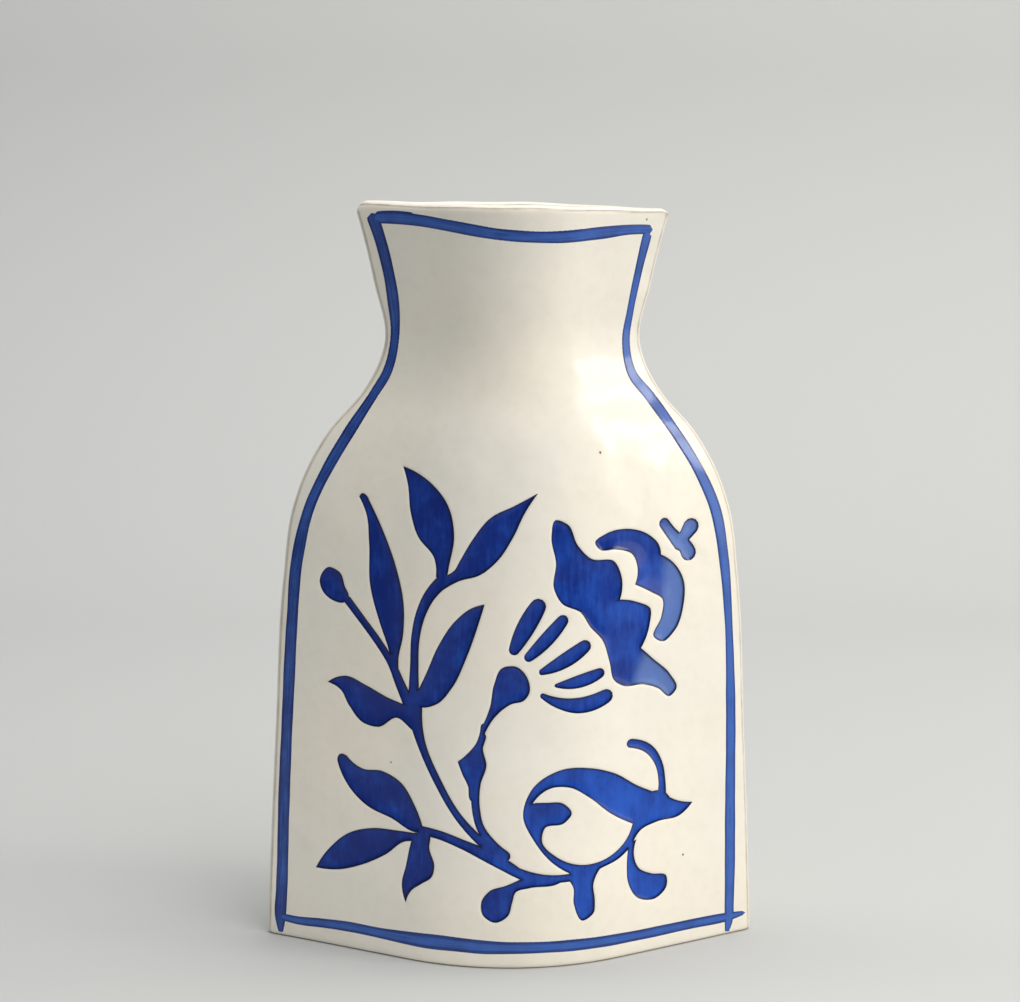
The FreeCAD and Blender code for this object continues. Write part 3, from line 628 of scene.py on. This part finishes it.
# ------------------------------------------------------------------ the slabs
def section(height, inset, tip, side):
    """Rows of points across one slab, seam to seam, at some heights: round the left seam
    edge, over the flank and the middle, and round the right seam edge."""
    height = np.atleast_1d(np.asarray(height, float))
    inset = np.broadcast_to(np.asarray(inset, float), height.shape)
    tip = np.broadcast_to(np.asarray(tip, float), height.shape)
    slope = form(height)[3]
    centre = seam_start(height)[0] - (inset + tip - EDGE_ROUND) / np.sin(slope)
    reach = centre + tip * np.sin(slope)
    turn = (np.pi / 2 - slope)[:, None] * np.linspace(1, 0, TIP_STEPS + 1)[None, 1:]
    edge_x = centre[:, None] + tip[:, None] * np.cos(turn)
    edge_y = tip[:, None] * np.sin(turn)
    across = np.linspace(-1, 1, COLUMNS)[None] * reach[:, None]
    level, inset = height[:, None], inset[:, None]
    depth = depth_at(across, level, inset)
    edge_y = edge_y + swell(edge_x, level, inset) * (edge_y / tip[:, None])
    x = np.concatenate([-edge_x[:, ::-1], across, edge_x], 1)
    y = np.concatenate([edge_y[:, ::-1], depth, edge_y], 1)
    z = np.broadcast_to(level, x.shape)
    return np.stack([x, -side * y, z], -1)


def lip_wave(across):
    """The hand-cut rim: it falls a little towards the right and wavers."""
    return (-0.020 * across + 0.3 + 0.2 * np.sin(0.11 * across + 1.0)
            + 0.08 * np.sin(0.31 * across))


def corner_drop(across):
    """How far the rim's rounded corners fall: ellipses next to the seams."""
    start = RIM[0] - CORNER_WIDE
    out = np.clip((np.abs(across) - start) / CORNER_WIDE, 0, 1)
    return CORNER_DROP * (1 - np.sqrt(1 - out ** 2))


def lip_rows(side):
    """Rows over the rim: the section moves in through the wall's thickness while its
    height goes over a half circle, and the seam edge sharpens to the inner one."""
    turn = np.linspace(0, np.pi, LIP_STEPS)
    inset = 0.5 * WALL * (1 - np.cos(turn))
    height = SKIN_HIGH + (RIM_LEVEL - SKIN_HIGH) * np.sin(turn) ** LIP_SHAPE
    tip = EDGE_ROUND + (INNER_ROUND - EDGE_ROUND) * inset / WALL
    rows = section(height, inset, tip, side)
    rise = np.sin(turn)[:, None] ** LIP_SHAPE
    rows[..., 2] += rise * (lip_wave(rows[..., 0]) - corner_drop(rows[..., 0]))
    out = np.clip((np.abs(rows[..., 0]) - RIM[0] + CORNER_WIDE) / CORNER_WIDE, 0, 1)
    rows[..., 0] -= np.sign(rows[..., 0]) * CORNER_IN * rise ** 2 * out ** 2
    return rows


def foot_rows(side):
    """Rows round the foot's outer edge and across the wall's underside."""
    turn = np.linspace(0, np.pi / 2, FOOT_STEPS)
    inset = np.append(SKIN_LOW * (1 - np.cos(turn)), WALL)
    height = np.append(SKIN_LOW * (1 - np.sin(turn)), 0.0)
    tip = EDGE_ROUND + (INNER_ROUND - EDGE_ROUND) * inset / WALL
    return section(height, inset, tip, side)


def slab(name, side, skin_points, skin_faces, node):
    """One clay slab: its given outer skin, and grids for the seam roundings, the rim, the
    foot, the inner wall and the two flat seam faces, all welded to a closed shell."""
    levels = side_levels()
    outer = section(levels, 0.0, EDGE_ROUND, side)
    inner = section(levels, WALL, INNER_ROUND, side)
    low_inner = section([0.0, SKIN_LOW], WALL, INNER_ROUND, side)
    lip, foot = lip_rows(side), foot_rows(side)
    patches = [outer[:, :TIP_STEPS + 1], outer[:, -TIP_STEPS - 1:], inner, low_inner, lip, foot]
    caps = []
    for end in (0, -1):
        patches.append(np.stack([outer[:, end], inner[:, end]], 1))
        caps += [lip[:, end], np.concatenate([foot[:, end], low_inner[1:, end]])]
    points, faces = [skin_points], list(skin_faces)
    start = len(skin_points)
    for patch in patches:
        rows, columns = patch.shape[:2]
        points.append(patch.reshape(-1, 3))
        faces += grid_faces(rows, columns, start)
        start += rows * columns
    for cap in caps:
        points.append(cap)
        faces.append(tuple(range(start, start + len(cap))))
        start += len(cap)
    return finished(new_piece(name, np.concatenate(points), faces, "cream_glaze", node))


def carved_faces(clay, carved, count):
    """Faces of the carved skin: the clay as it is, the carved floor numbered past the
    clay's points, and a wall along every edge of the floor."""
    rim = border_of(carved)
    walls = np.stack([rim[:, 1], rim[:, 0], rim[:, 0] + count, rim[:, 1] + count], -1)
    return [tuple(face) for part in (clay, carved + count, walls) for face in part.tolist()]


def only_used(points, faces):
    """Drops the points that no face has, and says which are left."""
    used = np.unique(np.concatenate([np.array(face) for face in faces]))
    number = np.full(len(points), -1)
    number[used] = np.arange(len(used))
    return points[used], [tuple(number[list(face)].tolist()) for face in faces], used


def pool_piece(name, triangles, spots, distance, shade):
    """One glaze pool: a dished top, a floor that lies under it by the glaze's thickness,
    and sides between them."""
    count = len(spots)
    lift = pool_lift(distance)
    top = skin(spots[:, 0], spots[:, 1], lift)
    under = skin(spots[:, 0], spots[:, 1], lift - GLAZE)
    rim = border_of(triangles)
    sides = np.stack([rim[:, 1], rim[:, 0], rim[:, 0] + count, rim[:, 1] + count], -1)
    faces = [tuple(face) for face in triangles.tolist()]
    faces += [tuple(face) for face in (triangles[:, ::-1] + count).tolist()]
    faces += [tuple(face) for face in sides.tolist()]
    points, faces, used = only_used(np.concatenate([top, under]), faces)
    piece = new_piece(name, points, faces, "cobalt_pool", name)
    give(piece, "inward", np.tile(distance, 2)[used])
    give(piece, "pooled", np.tile(shade, 2)[used])
    # Painted light: the cobalt is made lighter towards the right of the motif, the side the light
    # falls on, and less so high up.
    tone = np.clip((spots[:, 0] - PAINTED_LIGHT_START) / PAINTED_LIGHT_RUN, 0, 1)
    tone = tone * np.where(spots[:, 1] > PAINTED_LIGHT_CHANGE, PAINTED_LIGHT_HIGH, 1)
    give(piece, "tone", np.tile(tone, 2)[used])
    # Painted reflection: at the right of the flowers the cobalt is made pale, as if it reflected
    # the window on the right.
    start = np.minimum(REFLECTION_START + REFLECTION_LEAN * (spots[:, 1] - REFLECTION_LEVEL), REFLECTION_LAST)
    painted_reflection = np.clip((spots[:, 0] - start) / REFLECTION_RUN, 0, 1) * (spots[:, 1] > PAINTED_LIGHT_CHANGE)
    give(piece, "painted_reflection", np.tile(painted_reflection, 2)[used])
    return finished(piece)


def front():
    """The carved front slab, and the glaze pools in it."""
    spots, triangles, number, distance, towards = carved_skin()
    clay, carved = triangles[number < 0], triangles[number >= 0]
    inward = distance.copy()
    inward[np.unique(border_of(carved))] = 0
    top = skin(spots[:, 0], spots[:, 1], clay_lift(distance))
    floor = skin(spots[:, 0], spots[:, 1], pool_lift(inward) - GLAZE - FLOOR_GAP)
    faces = carved_faces(clay, carved, len(spots))
    points, faces, _ = only_used(np.concatenate([top, floor]), faces)
    pieces = [slab("front_slab_carved", FRONT, points, faces, "front_slab")]
    aim = towards / np.maximum(distance, 1e-6)[:, None]
    # Darker glaze at every carved edge, where it pools, and painted shade: the band is widened on
    # the right and lower edges, whose recess walls face away from the light.
    shade = np.exp(-inward / POOL_SPREAD) * (0.75 + 0.25 * (aim @ PAINTED_SHADE_SIDE))
    for place, name in enumerate(MOTIF):
        pieces.append(pool_piece(name, triangles[number == place], spots, inward, shade))
    return pieces


def back():
    """The back slab, whose skin is a plain grid."""
    levels = side_levels()
    rows = section(levels, 0.0, EDGE_ROUND, BACK)[:, TIP_STEPS:-TIP_STEPS]
    faces = grid_faces(ROWS, COLUMNS)
    return [slab("back_slab_plain", BACK, rows.reshape(-1, 3), faces, "back_slab")]


def foot_slab():
    """The foot slab: a lens-shaped plate that fits between the walls."""
    rows = [section([0.0, FOOT_THICKNESS], WALL + FOOT_PLAY, INNER_ROUND, side)
            for side in (FRONT, BACK)]
    ring = np.concatenate([rows[0], rows[1][:, -2:0:-1]], 1)
    faces = tube_faces(*ring.shape[:2])
    piece = new_piece("foot_plate", ring.reshape(-1, 3), faces, "cream_glaze", "foot_slab")
    return [finished(piece)]


def tube(name, middle, radius, slot, node, sides=24):
    """A closed tube of varying radius along a line near the seam plane: circles about
    its points, with a domed end."""
    forward = np.gradient(middle, axis=0)
    forward /= np.linalg.norm(forward, axis=1)[:, None]
    depthwise = np.array([0.0, 1.0, 0.0])
    across = np.cross(depthwise, forward)
    turn = np.linspace(0, 2 * np.pi, sides, endpoint=False)
    rings = (middle[:, None] + radius[:, None, None]
             * (np.cos(turn)[None, :, None] * across[:, None]
                + np.sin(turn)[None, :, None] * depthwise))
    faces = tube_faces(len(middle), sides)
    return finished(new_piece(name, rings.reshape(-1, 3), faces, slot, node))


def seam_coils():
    """The two coils of clay pressed into the seams inside, with finger dents along them."""
    pieces = []
    height = np.linspace(FOOT_THICKNESS + 0.1, COIL_TOP, 150)
    corner = seam_start(height, WALL, INNER_ROUND)[0]
    dents = 1 + 0.05 * np.sin(height * 0.75) + 0.03 * np.sin(height * 0.31 + 1)
    ends = np.sqrt(np.clip((COIL_TOP - height) / COIL_RADIUS, 0.02, 1))
    for side, name in ((-1, "seam_coil_left"), (1, "seam_coil_right")):
        middle = np.stack([side * (corner - COIL_SINK), 0 * height, height], -1)
        pieces.append(tube(f"{name}_pressed", middle, COIL_RADIUS * dents * ends,
                           "cream_glaze", name))
    return pieces


# ------------------------------------------------------------------ brushed borders
def rounded_ends(reach, radius_start, radius_end):
    """Share of the full width near the ends of a stroke: quarter circles there."""
    start = np.clip(reach / radius_start, 0, 1)
    end = np.clip((reach[-1] - reach) / radius_end, 0, 1)
    return np.sqrt(np.maximum(1 - (1 - start) ** 2, 0) * np.maximum(1 - (1 - end) ** 2, 0))


def foot_roll(height):
    """How far the foot's rounded edge falls back from the flat surface above it."""
    low = np.clip(1 - height / SKIN_LOW, 0, 1)
    return SKIN_LOW * (1 - np.sqrt(1 - low ** 2))


def brush_stroke(name, stroke, side, wobble, node):
    """One pull of a loaded brush: a band of glaze, a mere film on the surface. Along it the width
    wavers; across it the band is a low cushion whose edges dip under the surface."""
    stroke = np.asarray(stroke, float)
    middle, across, _, half, reach = stroke_edges(stroke[:, :2], stroke[:, 2], BRUSH_STEP)
    waver = 1 + 0.025 * np.sin(0.19 * reach + wobble) + 0.015 * np.sin(0.53 * reach + 2 * wobble)
    half = BRUSH_SPREAD * half * waver * rounded_ends(reach, half[0], half[-1])
    share = np.linspace(-1, 1, BRUSH_COLUMNS)
    spread = middle[:, None] + across[:, None] * (half[:, None] * share)[..., None]
    cushion = BRUSH_RISE * (1 - share ** 4) - BRUSH_DIP * share ** 8
    lift = cushion - foot_roll(spread[..., 1])
    top = skin(spread[..., 0], spread[..., 1], lift, side)
    under = skin(spread[..., 0], spread[..., 1], lift - BRUSH_BODY, side)
    ring = np.concatenate([top, under[:, ::-1]], 1)
    rows, columns = ring.shape[:2]
    faces = tube_faces(rows, columns)
    piece = new_piece(name, ring.reshape(-1, 3), faces, "cobalt_brush", node)
    both = np.concatenate([share, share[::-1]])
    give(piece, "along", np.repeat(reach, columns))
    give(piece, "across", np.broadcast_to(both, (rows, columns)).ravel() * half.max())
    return finished(piece)


# Strokes as they lie on the front: points along their middle, each with the width there.
LEFT_STROKE = [(-63.2, 0.4, 0.8), (-63.35, 5, 2.8), (-62.9, 13, 3), (-62, 38.6, 3),
               (-60.6, 66.6, 3), (-59.3, 88.7, 3), (-57.7, 106, 3), (-54.2, 120, 2.7),
               (-49.5, 130, 2.7), (-43.7, 139.8, 2.7), (-36.7, 150.5, 2.3), (-33.7, 155.4, 2.4),
               (-31.4, 165, 2.2), (-31.8, 175, 2.9), (-33.6, 185.2, 2.9), (-37.5, 197.9, 3.1)]
RIGHT_STROKE = [(59.8, 0.3, 0.8), (60.4, 3.3, 2.2), (60.5, 9, 2.6), (60.3, 38, 2.8),
                (60, 66, 2.6), (58.9, 90, 2.2), (57.5, 105, 2.7), (54.5, 120, 3),
                (49.9, 130, 2.6), (43.8, 139.7, 2.6), (36.3, 150, 2.7), (31.9, 155.5, 2.3),
                (30.1, 164, 2.1), (31.2, 172.5, 1.9), (33.1, 182.5, 2), (35.6, 193.2, 2.4)]
TOP_STROKE = [(-37, 196.6, 2.6), (-30, 196.7, 3.2), (-24.6, 196.2, 2.9), (-16.9, 195, 2.8),
              (-4.1, 193, 2.8), (11.4, 192.3, 2.9), (22.8, 193.2, 3), (30.7, 193.9, 2.6),
              (36.9, 193.8, 2.4)]
FOOT_STROKE = [(-63.3, 5.5, 2), (-58.8, 5.2, 2.2), (-51.8, 5.7, 2.4), (-44.8, 6.1, 2.6),
               (-34.6, 6, 2.9), (-24.7, 6.1, 3.8), (-17, 6.2, 3.7), (-8, 5.9, 3.5),
               (5, 5.8, 3), (20, 5.6, 2.9), (35.9, 5.3, 2.8), (50, 5.3, 2.5), (60, 5.1, 2.4),
               (65.4, 5.3, 0.9)]


def borders():
    """Four strokes round the front panel, and the same four round the back one, where
    left and right stay on their own sides of the vase."""
    pieces = []
    for side, prefix, shift in ((FRONT, "front", 0.0), (BACK, "back", 2.3)):
        # The last number of each stroke is painted reflection: it lightens the right, top and foot
        # strokes against the left one.
        strokes = [("left", LEFT_STROKE, 0.0), ("right", RIGHT_STROKE, 0.5),
                   ("top", TOP_STROKE, 0.3), ("foot", FOOT_STROKE, 0.4)]
        for wobble, (place, stroke, tone) in enumerate(strokes):
            node = f"{prefix}_border_{place}"
            made = brush_stroke(f"{node}_stroke", stroke, side, 1.7 * wobble + shift, node)
            give(made, "tone", np.full(len(made.data.vertices), tone))
            pieces.append(made)
    return pieces


# ------------------------------------------------------------------ materials
class Wire:
    """One output of a material's node tree. Arithmetic on it adds Math nodes."""

    def __init__(self, tree, socket=None):
        self.tree = tree
        self.socket = socket

    def node(self, kind, settings=None, sockets=None, output=0):
        """Adds a node: its settings first, then the values or links of its sockets."""
        made = self.tree.nodes.new("ShaderNode" + kind)
        for name, setting in (settings or {}).items():
            setattr(made, name, setting)
        for name, value in (sockets or {}).items():
            if isinstance(value, Wire):
                self.tree.links.new(value.socket, made.inputs[name])
            else:
                made.inputs[name].default_value = value
        return Wire(self.tree, made.outputs[output])

    def math(self, operation, first, second=0.0):
        return self.node("Math", {"operation": operation}, {0: first, 1: second})

    def __add__(self, other):
        return self.math("ADD", self, other)

    def __sub__(self, other):
        return self.math("SUBTRACT", self, other)

    def __rsub__(self, other):
        return self.math("SUBTRACT", other, self)

    def __mul__(self, other):
        return self.math("MULTIPLY", self, other)

    __radd__ = __add__
    __rmul__ = __mul__

    def place(self):
        """Object coordinates in millimetres."""
        place = self.node("TexCoord", output="Object")
        return self.node("VectorMath", {"operation": "SCALE"}, {0: place, "Scale": 1 / MM})

    def stretched(self, scale, turn=(0, 0, 0)):
        """Coordinates turned and scaled for a texture."""
        return self.node("Mapping", sockets={"Vector": self, "Scale": scale, "Rotation": turn})

    def noise(self, scale, detail=2.0, rough=0.5):
        """Smooth noise at these coordinates, 0 to 1, with the scale in cycles per mm."""
        return self.node("TexNoise", {"noise_dimensions": "3D"},
                         {"Vector": self, "Scale": scale, "Detail": detail, "Roughness": rough})

    def mask(self, low, high):
        """0 below the low value, 1 above the high one, and a smooth step between."""
        return self.node("MapRange", {"interpolation_type": "SMOOTHSTEP"},
                         {"Value": self, "From Min": low, "From Max": high})

    def tint(self, first, second):
        """The first colour where this mask is 0, the second where it is 1."""
        return self.node("Mix", {"data_type": "RGBA"}, {0: self, 6: first, 7: second}, 2)

    def named(self, name):
        """A number that the piece's points carry."""
        return self.node("Attribute", {"attribute_name": name}, output="Fac")


def colour(red, green, blue):
    """A colour given as it looks on a screen, 0 to 255, as linear light."""
    parts = np.array([red, green, blue]) / 255
    linear = np.where(parts <= 0.04045, parts / 12.92, ((parts + 0.055) / 1.055) ** 2.4)
    return (*linear.tolist(), 1.0)


def new_material(name):
    """A material with one Principled shader. Returns it, a wire to draw nodes with, and
    the shader."""
    material = bpy.data.materials.new(name)
    material.use_nodes = True
    tree = material.node_tree
    shader = next(node for node in tree.nodes if node.type == "BSDF_PRINCIPLED")
    return material, Wire(tree), shader


def plug(shader, **sockets):
    """Links or sets the shader's sockets, whose names have an underscore for a space."""
    for name, value in sockets.items():
        socket = shader.inputs[name.replace("_", " ")]
        if isinstance(value, Wire):
            value.tree.links.new(value.socket, socket)
        else:
            socket.default_value = value


def bumped(height, strength, reach):
    """A Bump node: heights in millimetres, with the reach that turns them into metres."""
    return height.node("Bump", sockets={"Height": height, "Strength": strength,
                                        "Distance": reach * MM}, output="Normal")


SPECKS = [(22.4, 136.4, 0.45), (35.1, 196.5, 0.35), (46.6, 25.3, 0.4), (-32.5, 53.5, 0.3)]


def cream_glaze():
    """Clear glaze over cream slip: soft cloudy tone, a few iron specks, and clay that
    shows pinkish where the glaze breaks over sharp edges."""
    material, wire, shader = new_material("cream_glaze")
    place = wire.place()
    cloud = place.noise(0.022, 2).mask(0.35, 0.65)
    cream = cloud.tint(colour(234, 229, 219), colour(237, 230, 216))
    fine = place.noise(0.35, 3).mask(0.40, 0.75)
    cream = (fine * 0.35).tint(cream, colour(228, 221, 207))
    for across, height, size in SPECKS:
        point = skin(across, height).tolist()
        away = place.node("VectorMath", {"operation": "DISTANCE"}, {0: place, 1: point}, "Value")
        cream = (1 - away.mask(0.6 * size, size)).tint(cream, colour(120, 108, 92))
    worn = wire.named("worn") * (0.5 + place.noise(0.25, 3) * 0.6)
    cream = worn.mask(0.15, 0.95).tint(cream, colour(172, 156, 138))
    wave = place.noise(0.04, 1) * 1.5 + place.noise(0.12, 1) * 0.3 + place.noise(0.55, 2) * 0.03
    plug(shader, Base_Color=cream, Roughness=place.noise(0.2, 2) * 0.06 + 0.07,
         IOR=1.5, Specular_IOR_Level=0.22, Normal=bumped(wave, 0.8, 1.0))
    return material


def cobalt(name, streaks, dark, middle, light, pale, ridges, shine):
    """Cobalt under clear glaze. The streaks are a number from 0 to 1 that runs with the brush; the
    glaze is darkest where it pools. On the carved pools the dark edge band also holds painted
    shade, widest on the right and lower edges."""
    material, wire, shader = new_material(name)
    place = wire.place()
    streak, pooled, bright = streaks(wire, place)
    blue = bright.tint(middle, light)
    # Painted reflection: the pale colour lightens the cobalt where the mesh's number says.
    blue = (wire.named("painted_reflection") * 0.6).tint(blue, pale)
    blue = pooled.tint(blue, dark)
    height = streak * ridges + place.noise(0.9, 2) * 0.015
    plug(shader, Base_Color=blue, Roughness=streak * 0.08 + 0.08, IOR=1.5,
         Specular_IOR_Level=shine, Normal=bumped(height, 0.6, 1.0))
    return material


def pool_streaks(wire, place):
    """Soft brush marks that run slantwise over the pools, some that follow the carved edge, and
    painted light that makes the cobalt brighter towards the right of the motif, where the light
    falls. Dark where the mesh says, with its pooled glaze and painted shade at the edges."""
    hairs = place.stretched((0.75, 0.12, 0.12), (0, math.radians(-28), 0)).noise(1.0, 3, 0.6)
    inward = wire.named("inward")
    wide = place.noise(0.13, 2)
    streak = hairs * 0.65 + place.noise(0.45, 3) * 0.35
    # The tone adds painted light, lighter towards the right of the motif.
    bright = (streak * 0.6 + wide * 0.5 + wire.named("tone") * 0.30).mask(0.45, 1.0)
    rough = place.noise(0.5, 3) * 0.35
    pooled = (wire.named("pooled") + rough * 0.3 - inward * 0.02).mask(0.15, 0.62)
    return streak, pooled * 0.9, bright


def border_streaks(wire, place):
    """Brush hairs: noise that changes quickly across the stroke and slowly along it."""
    along, across = wire.named("along"), wire.named("across")
    track = wire.node("CombineXYZ", sockets={"X": along * 0.07, "Y": across * 2.2})
    streak = track.noise(1.0, 3, 0.6)
    edge = wire.math("ABSOLUTE", across)
    loaded = (along * 0.045).noise(1.0, 1)
    # The tone adds painted reflection: it lightens whole strokes.
    bright = streak * 0.7 + place.noise(0.2, 2) * 0.3 + wire.named("tone") * 0.4
    bright = bright.mask(0.35, 0.75)
    pooled = edge.mask(0.7, 1.45) * 0.65 + loaded.mask(0.50, 0.75) * 0.35
    return streak, pooled, bright


def bare_clay():
    """Unglazed pinkish clay of the foot, dry and faintly grainy."""
    material, wire, shader = new_material("bare_clay")
    place = wire.place()
    grain = place.noise(0.9, 4, 0.7)
    tone = grain.mask(0.3, 0.7).tint(colour(206, 178, 152), colour(220, 198, 176))
    plug(shader, Base_Color=tone, Roughness=grain * 0.1 + 0.78, Normal=bumped(grain, 0.6, 0.12))
    return material


def studio_paper(name, shown):
    material, _, shader = new_material(name)
    plug(shader, Base_Color=shown, Roughness=0.75)
    return material


SEAM_LINE = 0.6       # the worn line's distance from the seam edge
RIM_LINE = 0.9        # and from the top of the rim
SEAM_WIDE, RIM_WIDE = 0.4, 0.35
SEAM_WORN = 0.8
FOOT_BARE = 0.6       # the height of the bare edge of the foot


def wear(piece):
    """Where the glaze is scant and the clay shows through: a fine line along the seams and the edge
    of the foot. A darker pinkish line also runs round the rim, just under its top."""
    spot = places(piece)
    half = form(np.clip(spot[:, 2], 0, RIM_LEVEL))[0]
    across = np.abs(spot[:, 0])
    seam = np.exp(-((half - across - SEAM_LINE) / SEAM_WIDE) ** 2) * (spot[:, 2] < SKIN_HIGH)
    top = RIM_LEVEL + lip_wave(spot[:, 0]) - corner_drop(spot[:, 0])
    rim = np.exp(-((top - spot[:, 2] - RIM_LINE) / RIM_WIDE) ** 2) * (spot[:, 2] > SKIN_HIGH - 1)
    foot = np.clip(1 - spot[:, 2] / FOOT_BARE, 0, 1)
    give(piece, "worn", np.maximum(np.maximum(seam * SEAM_WORN, rim), foot))


# ------------------------------------------------------------------ the stage
def stage():
    """A pale floor that curves up into a wall, as one strip with a cylinder bend."""
    bend, depth, top = 260.0, 420.0, 1500.0
    turn = np.linspace(0, np.pi / 2, 24)
    line = np.concatenate([[(-1600.0, 0.0)], np.stack([depth + bend * np.sin(turn),
                           bend * (1 - np.cos(turn))], -1), [(depth + bend, top)]])
    wide = np.array([-2200.0, 2200.0])
    rows = np.stack([np.broadcast_to(wide, (len(line), 2)),
                     np.broadcast_to(line[:, :1], (len(line), 2)),
                     np.broadcast_to(line[:, 1:], (len(line), 2))], -1)
    floor = new_piece("floor", rows.reshape(-1, 3), grid_faces(len(line), 2), None, ride=False)
    smooth(floor)
    floor.data.materials.append(studio_paper("pale_paper", colour(188, 189, 188)))


def soft_light(name, place, aim, width, height, power, tone):
    """A rectangular soft light at a place, turned towards a point. Millimetres, watts."""
    lamp = bpy.data.lights.new(name, "AREA")
    lamp.shape = "RECTANGLE"
    lamp.size = width * MM
    lamp.size_y = height * MM
    lamp.energy = power
    lamp.color = tone
    holder = bpy.data.objects.new(name, lamp)
    holder.location = Vector(place) * MM
    holder.rotation_euler = (Vector(aim) - Vector(place)).to_track_quat("-Z", "Y").to_euler()
    bpy.context.scene.collection.objects.link(holder)
    return holder


WINDOW_TURN = math.radians(75)      # to the right of straight in front
WINDOW_AWAY = 900.0
PANE_WIDE = 58.0
PANE_HIGH = 165.0
PANE_GAP = 18.0
WINDOW_LOW = 330.0
PANE_ROWS = 2


def lights():
    """A window of four panes on the right, a broad soft light round it, light from above, a wash on
    the back wall, a low glow in front of the foot and a weak fill from the world all round."""
    middle = Vector((0, 0, 110))
    out = Vector((math.sin(WINDOW_TURN), -math.cos(WINDOW_TURN), 0))
    beside = Vector((math.cos(WINDOW_TURN), math.sin(WINDOW_TURN), 0))
    for column in (-0.5, 0.5):
        for row in range(PANE_ROWS):
            level = Vector((0, 0, WINDOW_LOW + (row + 0.5) * (PANE_HIGH + PANE_GAP)))
            place = out * WINDOW_AWAY + beside * column * (PANE_WIDE + PANE_GAP) + level
            soft_light(f"pane_{row}_{column}", place, level, PANE_WIDE, PANE_HIGH, 0.30,
                       (1.0, 0.955, 0.86))
    soft_light("bright_wall", (996, -87, 420), middle, 690, 900, 4.2, (1.0, 0.955, 0.86))
    soft_light("sky", (420, -450, 1150), middle, 800, 800, 8.6, (1.0, 0.975, 0.95))
    soft_light("wall_wash", (0, 150, 1150), Vector((0, 680, 200)), 1400, 300, 7.4,
               (1.0, 0.99, 0.95))
    glow = soft_light("table_glow", (20, -190, 36), Vector((0, 0, 30)), 300, 60, 0.085,
                      (1.0, 0.97, 0.90))
    glow.visible_glossy = False
    world = bpy.data.worlds.new("studio")
    world.use_nodes = True
    background = next(node for node in world.node_tree.nodes if node.type == "BACKGROUND")
    background.inputs["Color"].default_value = (0.94, 1.0, 1.05, 1)
    background.inputs["Strength"].default_value = 0.29
    bpy.context.scene.world = world
    bpy.context.scene.view_settings.view_transform = "Standard"


LENS, SENSOR = 81.9, 36.0
FAR_AWAY = 20.0       # metres, beyond the back wall
CAMERA_DISTANCE = 620.0
CAMERA_HEIGHT = 215.2
CAMERA_YAW = math.radians(-2.09)
CAMERA_ROLL = math.radians(0.268)
CAMERA_AIM = Vector((-0.46, 0, 120.64))


def camera():
    """A level look at the front, from a little above, turned by its yaw and roll."""
    lens = bpy.data.cameras.new("view")
    lens.lens = LENS
    lens.sensor_width = SENSOR
    lens.clip_end = FAR_AWAY
    eye = Vector((CAMERA_DISTANCE * math.sin(CAMERA_YAW),
                  -CAMERA_DISTANCE * math.cos(CAMERA_YAW), CAMERA_HEIGHT))
    forward = (CAMERA_AIM - eye).normalized()
    level = forward.cross(Vector((0, 0, 1))).normalized()
    upright = level.cross(forward)
    right = math.cos(CAMERA_ROLL) * level + math.sin(CAMERA_ROLL) * upright
    up = -math.sin(CAMERA_ROLL) * level + math.cos(CAMERA_ROLL) * upright
    holder = bpy.data.objects.new("view", lens)
    holder.matrix_world = Matrix.LocRotScale(
        eye * MM, Matrix((right, up, -forward)).transposed(), None)
    bpy.context.scene.collection.objects.link(holder)
    bpy.context.scene.camera = holder


# ------------------------------------------------------------------ making it all
camera()
lights()
stage()

cream = cream_glaze()
pool = cobalt("cobalt_pool", pool_streaks, colour(4, 9, 48), colour(10, 38, 120),
              colour(32, 82, 184), colour(110, 138, 196), 0.03, 0.25)
brush = cobalt("cobalt_brush", border_streaks, colour(12, 26, 84), colour(24, 52, 124),
               colour(54, 96, 178), colour(110, 138, 196), 0.015, 0.4)
clay = bare_clay()

for piece in front() + back() + seam_coils() + borders():
    kind = piece.name
    if "slab" in kind or "coil" in kind:
        piece.data.materials.append(cream)
        wear(piece)
    elif "border" in kind:
        piece.data.materials.append(brush)
    else:
        piece.data.materials.append(pool)
for piece in foot_slab():
    piece.data.materials.append(clay)
